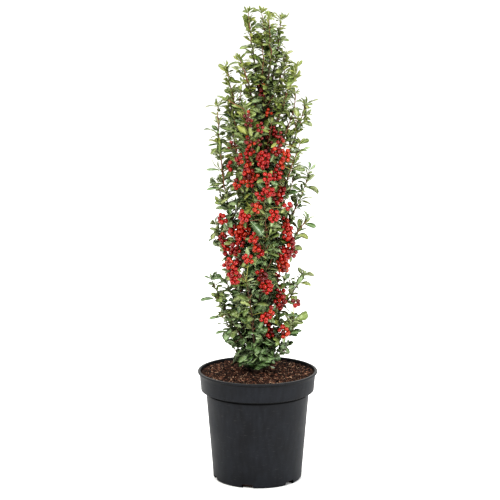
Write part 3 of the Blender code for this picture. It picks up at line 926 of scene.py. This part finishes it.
def growSpray(own, mass, tip, axis, stemPoint, room, size, count, tipward, inside, crown=False):
    # a fan of leaves that arch out from a spur's end, or a crown of them all round a shoot's tip
    tones = pickTones(own, tip[2], tipward, inside)
    outward = unit(np.array((tip[0], tip[1], 0)) + 1e-6)
    away = tip - stemPoint
    left = room - norm(away)  # what is left to the mass's edge
    away = unit(away + axis * 1e-4)
    width = np.interp(tip[2], *foliage["leafWidth"]) + 0.06 * inside
    start = anyTurn(own) if crown else atan2(away[1], away[0])
    if not crown:
        count = max(2, round(count * np.interp(fromTrunk(tip), *foliage["outerShoots"])))
    for index in range(count):
        share = index / max(count - 1, 1)
        if crown:
            turn, rise = start + index * goldenTurn, radians(68 - 46 * share + own.normal(0, 7))
        else:
            turn, rise = start + own.normal(0, foliage["fan"]), own.normal(*foliage["rise"])
        ahead = level(turn) * cos(rise) + up * sin(rise)
        if not crown and own.uniform() < np.interp(tip[2], *foliage["sideways"]):
            ahead = ahead - outward * ahead.dot(outward) * 0.75
        ahead = unit(ahead)
        long = size * (0.70 + 0.42 * share) * exp(own.normal(0, foliage["lengthSpread"]))
        long = min(long, left * own.uniform(*foliage["stray"]) / max(ahead.dot(away), 0.35))
        long = min(max(long, foliage["shortest"]), foliage["longest"])
        outwards = max(ahead[:2].dot(tip[:2]) / hypot(*tip[:2]), 0.1)
        long = min(long, max((foliage["farthest"] - hypot(*tip[:2])) / outwards, 0.006))
        arch = own.uniform(*foliage["arch"]) * long / 0.024
        base = tip - axis * 0.0028 * share
        lowest = (soilTop + 0.005 - base[2]) / long + 0.45 * arch  # just over the compost
        if ahead[2] < lowest:
            ahead = unit(ahead * (1, 1, 0) + up * min(lowest, 0.9))
        face = up * 0.75 + outward * 0.50 + own.normal(0, 0.40, 3)
        full = own.uniform(0.1, 0.6) + 0.4 * inside
        growth.addLeaf(mass, base, ahead, face, long, long * width * own.uniform(0.85, 1.15), arch,
                       own.uniform(*foliage["fold"]), own.normal(0, foliage["twist"]), full, tones[index])


def growSpur(own, mass, base, stemWay, turn, length, room, size, tipward, inside, crowd=1.0):
    # a short side twig that curves up, with leaves round its end and often halfway
    lean = radians(own.uniform(*foliage["spurAngle"]))
    way = unit(stemWay * cos(lean) + across(stemWay, turn) * sin(lean))
    line, steps = [base], 4
    for _ in range(steps):
        way = unit(way + up * 0.10 + own.normal(0, 0.07, 3))
        line.append(line[-1] + way * length / steps)
    thick = np.linspace(*foliage["spurRadius"], steps + 1)
    tone = own.integers(len(foliage["twigTones"]))
    growth.twigs.add(*tube(line, thick, 5), tone)
    low, high = foliage["leavesInSpray"]
    count = max(2, round(own.integers(low, high + 1) * crowd))
    growSpray(own, mass, line[-1], way, base, room, size, count, tipward, inside)
    if length > 0.009:
        fewer = max(2, count // 2)
        growSpray(own, mass, line[2], way, base, room, size * 0.9, fewer, tipward, inside)
    if own.uniform() < foliage["thorns"]:
        side = across(way, anyTurn(own))
        point = unit(way * 0.4 + side)
        start, long = line[1], own.uniform(0.006, 0.011)
        thorn = [start, start + point * long * 0.5, start + point * long]
        growth.twigs.add(*tube(thorn, (0.0006, 0.0004, 0.0001), 4), 1)


def plumeWidth(radius, share):
    # room for leaves at a share of a plume's length
    return radius * (1 - abs(2 * share - 1) ** 2.4) ** 0.5


def growPlume(index):
    # the leafy part of a shoot: sprays wind round the stem, and now and then a side twig turns up beside it
    own = np.random.default_rng(500 + index)
    shoot, line = shoots[index], lines[index]
    mass, start = f"mass_{shoot.name}", line.length * shoot.bare
    along, turn, buds = start + 0.003, anyTurn(own), []
    while along < line.length - 0.008:
        share = (along - start) / (line.length - start)
        point, way = line.at(along), line.way(along)
        width = max(plumeWidth(shoot.radius, share), 0.010)
        size = np.interp(point[2], *foliage["leafLength"]) * (1 - 0.30 * max(share - 0.8, 0) / 0.2)
        spur = min(max(width * 1.02 - size * 0.75, 0.0025), 0.020)
        inside = 0.5 if fromTrunk(point) < 0.03 else 0.0
        growSpur(own, mass, point, way, turn, spur, width, size, share, inside)
        if own.uniform() < np.interp(point[2], (0.72, 0.82), (0.62, 1.0)):
            growSpur(own, mass, point, way, turn + own.uniform(2.2, 4.0), spur * 0.6, width, size * 0.95,
                     share, inside, 0.65)
        buds.append(along)
        if 0.08 < share < 0.7 and own.uniform() < 0.14 and shoot.radius > 0.018:
            growSideTwig(own, mass, point, way, turn + 1.3, width, size, share)
        turn += goldenTurn + own.normal(0, 0.15)
        along += foliage["budStep"] * own.uniform(0.75, 1.25) * (1 - 0.35 * share)
    tip = line.at(line.length)
    growSpray(own, mass, tip, line.way(line.length), tip, 0.023, 0.0210, 8, 1.0, 0.0, True)
    return np.array(buds)


def growSideTwig(own, mass, base, stemWay, turn, width, size, share):
    # a longer twig that runs out to the mass's edge and then up
    way = unit(stemWay * 0.6 + across(stemWay, turn))
    length = own.uniform(0.024, 0.042)
    line, steps = [base], 8
    for step in range(steps):
        away = min(step / 4, 1)
        way = unit(way * (1 - 0.25 * away) + up * 0.25 * away + own.normal(0, 0.05, 3))
        line.append(line[-1] + way * length / steps)
    growth.twigs.add(*tube(line, np.linspace(0.0011, 0.0005, steps + 1), 6), own.integers(2))
    for step in (3, 5, 7, 8):
        outer = anyTurn(own)
        growSpur(own, mass, line[step], way, outer, 0.003, width * 0.75, size * 0.9, share, 0.0, 0.6)


def growBare(index):
    # a few small sprays on the bough below its mass
    own = np.random.default_rng(700 + index)
    line, buds = lines[index], []
    along, turn = 0.018, anyTurn(own)
    while along < line.length * shoots[index].bare:
        point = line.at(along)
        size = np.interp(point[2], *foliage["leafLength"]) * 0.9
        near = fromTrunk(point) < 0.036
        if own.uniform() < (0.9 if near else 0.6):
            growSpur(own, f"mass_{shoots[index].name}", point, line.way(along), turn, 0.004, 0.024, size, 0.0,
                     0.8 if near else 0.2, 0.8 if near else 0.65)
        buds.append(along)
        turn += goldenTurn
        along += 0.012 * own.uniform(0.8, 1.2)
    return np.array(buds)


inner = {
    "count": 9,
    "step": 0.0095,  # between levels of spurs up the trunk
    "spursAtLevel": 2,
    "reach": ((0.205, 0.235, 0.27, 0.32, 0.60, 0.775),  # by height
              (0.048, 0.046, 0.038, 0.036, 0.034, 0.020)),
    "footSpurs": 15,  # more of them round the very foot
    # thin shoots that show: bearing in degrees, height on the trunk, reach, height of the tip
    "risers": (
        (184, 0.235, 0.040, 0.352), (178, 0.345, 0.052, 0.405), (342, 0.224, 0.058, 0.262),
        (172, 0.220, 0.046, 0.258), (204, 0.300, 0.040, 0.375), (8, 0.560, 0.052, 0.665),
        (350, 0.650, 0.050, 0.760), (196, 0.610, 0.052, 0.700), (20, 0.690, 0.046, 0.800),
        (186, 0.700, 0.040, 0.795), (356, 0.580, 0.066, 0.748), (184, 0.585, 0.056, 0.735),
        (178, 0.440, 0.076, 0.582), (182, 0.300, 0.058, 0.388), (250, 0.740, 0.016, 0.845),
        (70, 0.735, 0.018, 0.860), (356, 0.470, 0.068, 0.602), (10, 0.640, 0.048, 0.722),
        (0, 0.710, 0.040, 0.818), (4, 0.330, 0.052, 0.388), (182, 0.630, 0.058, 0.722),
    ),
    "moreRisers": 28,  # and others that fill the room between the trunk and the plumes all round
    "deeper": 0.45,  # these reach further to the front and back, where the plumes stand further off
}
innerBoxes = [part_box(f"mass_inner_{index + 1}") for index in range(inner["count"])]
innerCentres = np.array([(low + high) / 2 for low, high in innerBoxes])


def nearestInner(point):
    # the inner mass whose middle is nearest
    return f"mass_inner_{int(np.argmin(norm(innerCentres - point, axis=1))) + 1}"


def growCore():
    # leafy spurs on the trunk itself, each dealt to the inner mass it stands nearest
    own = np.random.default_rng(900)
    height, turn = soilTop + 0.006, 0.0
    while height < trunk["top"] - 0.006:
        point = trunkAxis(height)
        way = unit(trunkAxis(height + 0.002) - point)
        reach = np.interp(height, *inner["reach"])
        size = np.interp(height, *foliage["leafLength"]) * 1.08
        for spurIndex in range(inner["spursAtLevel"]):
            angle = turn + spurIndex * 2 * pi / inner["spursAtLevel"] + own.normal(0, 0.3)
            mass = nearestInner(point + across(way, angle) * 0.025)
            length = max(reach * own.uniform(0.6, 1.0) - size * 0.75, 0.004)
            growSpur(own, mass, point, way, angle, length, reach, size, 0.0, 1.0, 0.85)
        turn += goldenTurn
        height += inner["step"] * own.uniform(0.8, 1.2)
    for index in range(inner["footSpurs"]):
        point, angle = trunkAxis(soilTop + own.uniform(0.006, 0.030)), index * goldenTurn
        mass = nearestInner(point + across(up, angle) * 0.03)
        growSpur(own, mass, point, up, angle, own.uniform(0.012, 0.024), 0.050, 0.028, 0.0, 1.0)


def growRiser(own, bearing, height, reach, tipHeight):
    # a thin shoot that leaves the trunk steeply and turns up, with sprays all along
    outward = level(bearing)
    beside = np.cross(up, outward) * own.normal(0, 0.004)
    shares = np.linspace(0, 1, 13)
    points = trunkAxis(height) + (reach * (1 - (1 - shares) ** 1.7))[:, None] * outward
    points = points + (tipHeight - height) * shares[:, None] * up
    points = points + np.sin(2 * pi * shares)[:, None] * beside
    line = Line(points + own.normal(0, 0.0006, (13, 3)))
    growth.twigs.add(*tube(line.points, np.linspace(0.0015, 0.0006, 13), 6), 2 if height < 0.5 else 0)
    along, turn = 0.014, anyTurn(own)
    while along < line.length - 0.003:
        point, way = line.at(along), line.way(along)
        size = np.interp(point[2], *foliage["leafLength"]) * 0.95
        deep = 0.7 - 0.6 * along / line.length
        growSpur(own, nearestInner(point), point, way, turn, 0.003, 0.027, size, 0.0, deep, 0.9)
        turn += goldenTurn
        along += 0.0125 * own.uniform(0.8, 1.2)
    tip = line.points[-1]
    growSpray(own, nearestInner(tip), tip, line.way(line.length), tip, 0.020, 0.018, 6, 0.8, 0.1, True)


def growRisers():
    # the risers listed, then the others, bearing by bearing and from low to high
    own = np.random.default_rng(950)
    for bearing, height, reach, tipHeight in inner["risers"]:
        growRiser(own, radians(bearing), height, reach, tipHeight)
    for index in range(inner["moreRisers"]):
        share = (index + own.uniform(0, 0.6)) / inner["moreRisers"]
        height = soilTop + 0.010 + (trunk["top"] - 0.09 - soilTop) * share
        reach = np.interp(height, *inner["reach"]) * own.uniform(0.6, 1.0)
        bearing = index * goldenTurn + own.normal(0, 0.2)
        reach *= 1 + inner["deeper"] * abs(sin(bearing))
        growRiser(own, bearing, height, reach, height + own.uniform(0.06, 0.10))


def growShoots():
    # every shoot's leaves and twigs, then those of the core; gives back where each shoot has its buds
    budsOf = []
    for index, shoot in enumerate(shoots):
        plumeBuds = growPlume(index)
        bareBuds = growBare(index) if shoot.bare else np.array([])
        budsOf.append(np.concatenate([bareBuds, plumeBuds]))
    growCore()
    growRisers()
    return budsOf


for shootIndex, buds in enumerate(growShoots()):
    makeStem(shootIndex, buds, [oldBark, youngBark])
print("shoots grown with", sum(len(rows) for rows in growth.leaves.values()), "leaves")


# berries

fruit = {
    "radius": 0.0045,
    "flatness": 0.92,
    "sides": 14,
    "hiddenBehind": 1.3,  # berries in a head for each that shows
    "gap": 1.93,  # between neighbours' middles, in radii
    "rounds": 16,
    "stalk": 0.00042,
    "mainStalk": 0.0008,
    "backClusters": 42,
    "tries": 1500,
    "backHeights": (0.33, 0.64),
    "backReach": (0.018, 0.075),  # of the limbs that bear them
    "sideReach": 0.058,  # back heads don't stand out past the sides
    "frontLeaves": 0.07,  # share of the leaves in front of a head that stay
    "smallAbove": 640,  # mm: the topmost heads are small and dark
    "smallSize": 0.78,
    "tones": ("#8b130f", "#981d0f", "#740f0d", "#9a3013", "#5a0b09"),
    "toneShares": (0.32, 0.26, 0.2, 0.12, 0.10),
    "smallToneShares": (0, 0, 0.38, 0.17, 0.45),
    "calyx": "#2a1611",
    "stalkTones": ("#8a8748", "#76603a"),
}

# clusters that the front shows: mm across from the pot's middle, mm above the ground, berries
frontClusters = (
    (6, 759, 2), (7, 745, 2), (-19, 703, 4), (-17, 690, 3), (20, 709, 3), (5, 681, 4), (27, 676, 4),
    (39, 668, 3), (43, 656, 4), (17, 666, 3), (3, 654, 4), (-19, 657, 4), (-11, 644, 4), (24, 647, 4),
    (-19, 632, 3), (35, 637, 4), (11, 621, 14), (53, 628, 6), (-34, 621, 4), (44, 611, 4),
    (-53, 608, 2), (-17, 608, 5), (-19, 595, 6), (-6, 589, 3), (-17, 577, 5), (19, 585, 5), (36, 593, 7),
    (-38, 574, 4), (22, 560, 6), (45, 562, 5), (39, 547, 6), (5, 551, 3), (-2, 530, 5), (58, 532, 3),
    (-68, 507, 5), (-27, 511, 6), (32, 512, 6), (53, 501, 4), (-27, 488, 10), (-33, 470, 9),
    (-44, 449, 8), (-61, 451, 5), (-66, 470, 5), (-48, 484, 5), (-8, 470, 4), (-2, 453, 5), (5, 441, 3),
    (-19, 430, 5), (57, 482, 10), (64, 462, 5), (52, 440, 10), (67, 442, 4), (48, 419, 10), (-54, 420, 7),
    (-45, 396, 10), (9, 397, 7), (17, 377, 10), (44, 371, 4), (44, 348, 11), (74, 344, 3), (25, 327, 3),
    (15, 315, 5), (19, 300, 7), (23, 284, 4), (52, 288, 7),
)


def limbSamples():
    # points on the trunk and on every shoot
    points = [trunkAxis(np.arange(soilTop + 0.03, trunk["top"], 0.004))]
    points += [line.points[4::3] for line in lines]
    return np.concatenate(points)


limbPoints = limbSamples()
clusters = []  # (middle, the way it faces, radius), for keeping leaves out of the way
berryHeaps = {"front": Heap(), "back": Heap()}
stalkHeap = Heap()


def berryShape():
    # from the stalk's end to the open calyx, whose rim stands up in small teeth
    sides, own = fruit["sides"], fruit["radius"]
    profile = [(own * sin(polar), -own * fruit["flatness"] * cos(polar))
               for polar in np.radians((14, 36, 60, 84, 108, 131, 151))]
    rings = turnedRings([*profile, (own * 0.22, 0)], sides)
    rings[-1, :, 2] = own * (0.84 + 0.12 * (np.arange(sides) % 2))
    points, faces = ringed(rings)
    points[-1] = up * own * 0.74
    tones = np.zeros(len(faces), int)
    tones[-sides:] = 1
    return points, faces, tones


berryPoints, berryFaces, berryTones = berryShape()


def addBerry(heap, middle, axis, tone, size):
    side = across(axis, 0.0)
    points = berryPoints @ np.array((side, np.cross(axis, side), axis)) * size + middle
    heap.add(points, berryFaces, np.where(berryTones == 1, len(fruit["tones"]), tone))


def clusterRadius(count):
    # of a head that shows so many berries
    return 0.0034 * sqrt(count) - 0.0008


def headPlaces(own, count, radius, facing, start):
    # places for berries on a dome, pushed apart until each has its room
    places = []
    for index in range(count):
        polar = acos(1 - 0.95 * (index + 0.5) / count)
        beside = across(facing, start + index * goldenTurn)
        places.append((facing * cos(polar) + beside * sin(polar)) * radius)
    tall = own.uniform(0.95, 1.3)
    places = np.array(places) * (1 / tall, 1, tall) + own.normal(0, 0.0010, (count, 3))
    gap = fruit["radius"] * fruit["gap"]
    for _ in range(fruit["rounds"]):
        apart = places[:, None] - places[None]
        distance = norm(apart, axis=-1) + np.eye(count)
        push = np.where(distance < gap, (gap - distance) / 2, 0)
        places += (apart / distance[..., None] * push[..., None]).sum(axis=1)
    return places - places.mean(axis=0) * (1, 0, 1)


def growCluster(own, limb, middle, facing, shown, side, small=False):
    # a domed head of berries on stalks from one point, with a few leaves under it
    radius = clusterRadius(shown)
    start = anyTurn(own)
    places = headPlaces(own, round(shown * fruit["hiddenBehind"]), radius, facing, start)
    root = middle - facing * (radius * 0.7 + 0.003) - up * 0.003
    bend = (limb + root) / 2 + up * 0.002
    stalkTone = own.integers(2)
    taper = np.array((1.2, 1.0, 0.8))
    stalkHeap.add(*tube([limb, bend, root], fruit["mainStalk"] * taper, 6), stalkTone)
    toneShares = fruit["smallToneShares"] if small else fruit["toneShares"]
    main = own.choice(len(fruit["tones"]), p=toneShares)
    for place in places:
        berry = middle + place
        axis = unit(unit(berry - root) + own.normal(0, 0.25, 3))
        tone = main if own.uniform() < 0.6 else own.choice(len(fruit["tones"]), p=toneShares)
        size = own.uniform(0.88, 1.05) * (fruit["smallSize"] if small else 1)
        addBerry(berryHeaps[side], berry, axis, tone, size)
        joint = root + (berry - root) * 0.25 - up * 0.001
        end = berry - axis * fruit["radius"] * 0.8
        thick = fruit["stalk"] * np.array((1.2, 1.0, 1.0))
        stalkHeap.add(*tube([root, joint, end], thick, 4), stalkTone)
    clusters.append((middle, facing, radius + fruit["radius"]))
    for index in range(own.integers(2, 5)):
        way = unit(across(facing, start + index * 2.1) + facing * 0.2 - up * 0.15)
        long = own.uniform(0.015, 0.024)
        tones = pickTones(own, middle[2], 0.0, 0.4)
        growth.addLeaf(nearestMass(root), root, way, facing + up * 0.3, long, long * 0.4,
                       own.uniform(0.2, 0.6), 0.25, own.normal(0, 0.3), 0.4, tones[0])


def nearestMass(point):
    # the plume whose leafy line passes nearest
    gaps = [norm(line.points[60:] - point, axis=1).min() for line in lines]
    return f"mass_{shoots[int(np.argmin(gaps))].name}"


def sightLine(acrossMm, heightMm, depth):
    # the point at this depth that the camera sees in the same place as one over the pot's middle
    start = np.array((acrossMm * mm, 0.0, heightMm * mm))
    eye = np.array(camera["place"])
    return start + (eye - start) * depth / eye[1]


def limbBehind(acrossMm, heightMm, hang, pull):
    # of the limbs near a place in the view, or hanging over it, one that stands well to the front
    depths = limbPoints[:, 1]
    seen = np.array([sightLine(acrossMm, heightMm, depth) for depth in depths])
    aside = np.hypot(limbPoints[:, 0] - seen[:, 0], limbPoints[:, 2] + hang - seen[:, 2])
    return limbPoints[int(np.argmin(aside + pull * (depths - depths.min())))]


def growFrontClusters():
    # each hangs from the frontmost limb that passes near the place where it shows
    own = np.random.default_rng(1100)
    for acrossMm, heightMm, count in frontClusters:
        limb = limbBehind(acrossMm, heightMm, 0.008, 0.42)
        middle = sightLine(acrossMm, heightMm, limb[1] - 0.008 - clusterRadius(count))
        facing = unit(np.array((middle[0] * 1.5, -0.11, 0.012)))
        growCluster(own, limb, middle, facing, count, "front", heightMm > fruit["smallAbove"])


def growBackClusters():
    # the sides and the back bear as the front does, at the same heights
    own = np.random.default_rng(1200)
    (low, high), (near, far) = fruit["backHeights"], fruit["backReach"]
    hidden = limbPoints[(limbPoints[:, 1] > -0.012) & (limbPoints[:, 2] > low) & (limbPoints[:, 2] < high)]
    reach = np.hypot(hidden[:, 0], hidden[:, 1])
    hidden = hidden[(reach > near) & (reach < far)]
    made = 0
    for _ in range(fruit["tries"]):
        if made == fruit["backClusters"]:
            break
        limb = hidden[own.integers(len(hidden))]
        outward = unit(np.array((limb[0] * 0.6, limb[1] + 0.012, 0)))
        facing = unit(outward + own.normal(0, 0.3, 3) * (1, 1, 0.3) + up * 0.1)
        count = int(own.integers(4, 11))
        middle = limb + facing * (0.009 + clusterRadius(count)) + up * 0.004
        pastSide = abs(middle[0] - 0.004) + clusterRadius(count) > fruit["sideReach"]
        if facing[1] < 0.15 or pastSide:
            continue
        if any(norm(middle - other) < radius + 0.013 for other, _, radius in clusters):
            continue
        growCluster(own, limb, middle, facing, count, "back")
        made += 1


def makeBerries():
    # ripe pomes: thin waxy skin, bright red to orange-red, each with a dry dark calyx at its end
    finishes = newFinishes("waxyBerrySkin", fruit["tones"], Roughness=0.3, IOR=1.45, Coat_Weight=0.3,
                           Coat_Roughness=0.12)
    finishes.append(newFinish("dryCalyx", fruit["calyx"], Roughness=0.85)[0])
    for side, heap in berryHeaps.items():
        pieceOf(f"berries_{side}", heap, finishes, crease=50)
    # berry stalks: soft green to reddish, finely downy, so dull
    pieceOf("berryStalks", stalkHeap, newFinishes("downyStalk", fruit["stalkTones"], Roughness=0.7))


growFrontClusters()
growBackClusters()
makeBerries()
print("berries set in", len(clusters), "clusters")


# leaves and twigs, once the berries have their room

# the largest single leaves that the front shows, in mm: foot across and above ground, tip, width
singleLeaves = (
    (-15, 503, 10, 471, 19.0), (88, 497, 111, 489, 10.5), (-70, 600, -98, 598, 6.0), (54, 319, 79, 317, 9.5),
    (55, 283, 80, 285, 9.0), (-82, 352, -110, 347, 9.0), (-70, 316, -93, 311, 7.0), (-60, 288, -81, 282, 8.0),
    (-44, 266, -64, 267, 9.0), (45, 261, 62, 243, 9.0), (-75, 644, -88, 629, 7.5), (-56, 733, -78, 739, 5.5),
    (83, 724, 104, 723, 6.5), (90, 568, 108, 559, 5.5), (-56, 785, -72, 792, 5.0), (84, 638, 99, 643, 6.0),
    (-51, 549, -73, 531, 8.0), (-69, 566, -97, 560, 7.0), (-64, 574, -90, 568, 6.5), (-5, 604, 8, 595, 8.5),
    (-1, 575, 12, 560, 13.0), (23, 579, 37, 568, 9.0), (4, 583, -28, 581, 7.0), (-70, 650, -94, 644, 6.0),
)

single = {
    "central": 30,  # mm: those nearer to the middle stand out of the crowd and face the viewer
    "forward": (0.004, 0.028),  # how far in front of its limb a leaf's foot stands, and a central one's
    "deepBelow": 520,  # mm
    "facing": ((0, -0.65, 0.75), (0.45, -1.0, -0.1)),
}


def growSingleLeaves():
    # each grows on a twig from the frontmost limb near its foot
    own = np.random.default_rng(1400)
    for footAcross, footHeight, tipAcross, tipHeight, wide in singleLeaves:
        limb = limbBehind(footAcross, footHeight, 0, 0.4)
        central = abs(footAcross) < single["central"]
        depth = limb[1] - single["forward"][central]
        foot = sightLine(footAcross, footHeight, depth)
        line = np.array((limb, (limb + foot) / 2 - up * 0.001, foot))
        growth.twigs.add(*tube(line, (0.0009, 0.0007, 0.0006), 5), own.integers(3))
        ahead = sightLine(tipAcross, tipHeight, depth - 0.002) - foot
        long = norm(ahead)
        ahead = unit(ahead + up * 0.22 * long)
        tone = pickTones(own, footHeight * mm, 0.0, 0.3)[0]
        if central or footHeight < single["deepBelow"]:
            tone = ageStart["deep"] + own.choice((0, 2, 4))
        face = np.array(single["facing"][central]) + own.normal(0, 0.12, 3)
        growth.addLeaf(nearestMass(foot), foot, ahead, face, long, wide * mm, 0.45, 0.2,
                       own.normal(0, 0.2), 0.9, tone)


def onMiddlePlane(points):
    # where the camera sees these points, as places over the pot's middle
    eye = np.array(camera["place"])
    return eye + (points - eye) * (eye[1] / (eye[1] - points[:, 1]))[:, None]


# where the front shows the trunk and two boughs between the leaves, in mm: across, height, half sizes
sightWindows = (
    (-8, 345, 8, 22), (-9, 305, 7, 24), (-7, 272, 6, 14), (-31, 414, 7, 16), (-21, 382, 7, 18),
    (-40, 375, 9, 6), (-25, 365, 9, 6),
)

leafRoom = {
    "tested": (0.6, 0.95),  # shares of a leaf's length
    "overCompost": (0.004, 0.0035),  # how high these two points must stand
    "roundHead": 0.92,  # share of a berry head's radius that no leaf enters
    "beforeHead": 0.07,  # a leaf hides a head only from nearer than this
    "headWidth": 0.85,  # share of its radius that leaves would hide
    "inWindows": 0.15,  # share of the front leaves that stay there
    "windowDepth": 0.006,  # leaves further back than this stay
}


def keptLeaves(rows):
    # leaves out those that would stand in a berry cluster or hide it, or reach into pot or compost
    rows = np.array(rows)
    keep = np.full(len(rows), True)
    draw = np.random.default_rng(1300).uniform(size=len(rows))
    for share, lowest in zip(leafRoom["tested"], leafRoom["overCompost"]):
        point = rows[:, 0:3] + rows[:, 3:6] * rows[:, 9, None] * share
        keep &= point[:, 2] > soilTop + lowest
        for centre, facing, radius in clusters:
            offset = point - centre
            out = offset @ facing
            aside = norm(offset - out[:, None] * facing, axis=1)
            keep &= norm(offset, axis=1) > radius * leafRoom["roundHead"]
            hides = (out > 0) & (out < leafRoom["beforeHead"]) & (aside < radius * leafRoom["headWidth"])
            keep &= ~(hides & (draw > fruit["frontLeaves"]))
        seen = onMiddlePlane(point) / mm
        for acrossMm, heightMm, halfWidth, halfHeight in sightWindows:
            within = (abs(seen[:, 0] - acrossMm) < halfWidth) & (abs(seen[:, 2] - heightMm) < halfHeight)
            keep &= ~(within & (point[:, 1] < leafRoom["windowDepth"]) & (draw > leafRoom["inWindows"]))
    return rows[keep]


def makeLeaves():
    # the leaves of each mass that have room, as one piece; gives back how many there are
    count = 0
    for mass in sorted(growth.leaves):
        kept = keptLeaves(growth.leaves[mass])
        count += len(kept)
        pieceOf(mass.replace("mass", "leaves"), Heap(*growBlades(kept)), leafLook, [mass])
    return count


def makeTwigs():
    # this year's wood: thin-skinned, red-brown, a little glossy
    finishes = newFinishes("thinBarkTwig", foliage["twigTones"], Roughness=0.6)
    pieceOf("twigs", growth.twigs, finishes)


growSingleLeaves()
leafCount = makeLeaves()
makeTwigs()
print("leaves kept:", leafCount)

visible = [piece for piece in scene.objects if piece.type == "MESH" and not piece.hide_render]
print("faces shown:", sum(len(piece.data.polygons) for piece in visible))
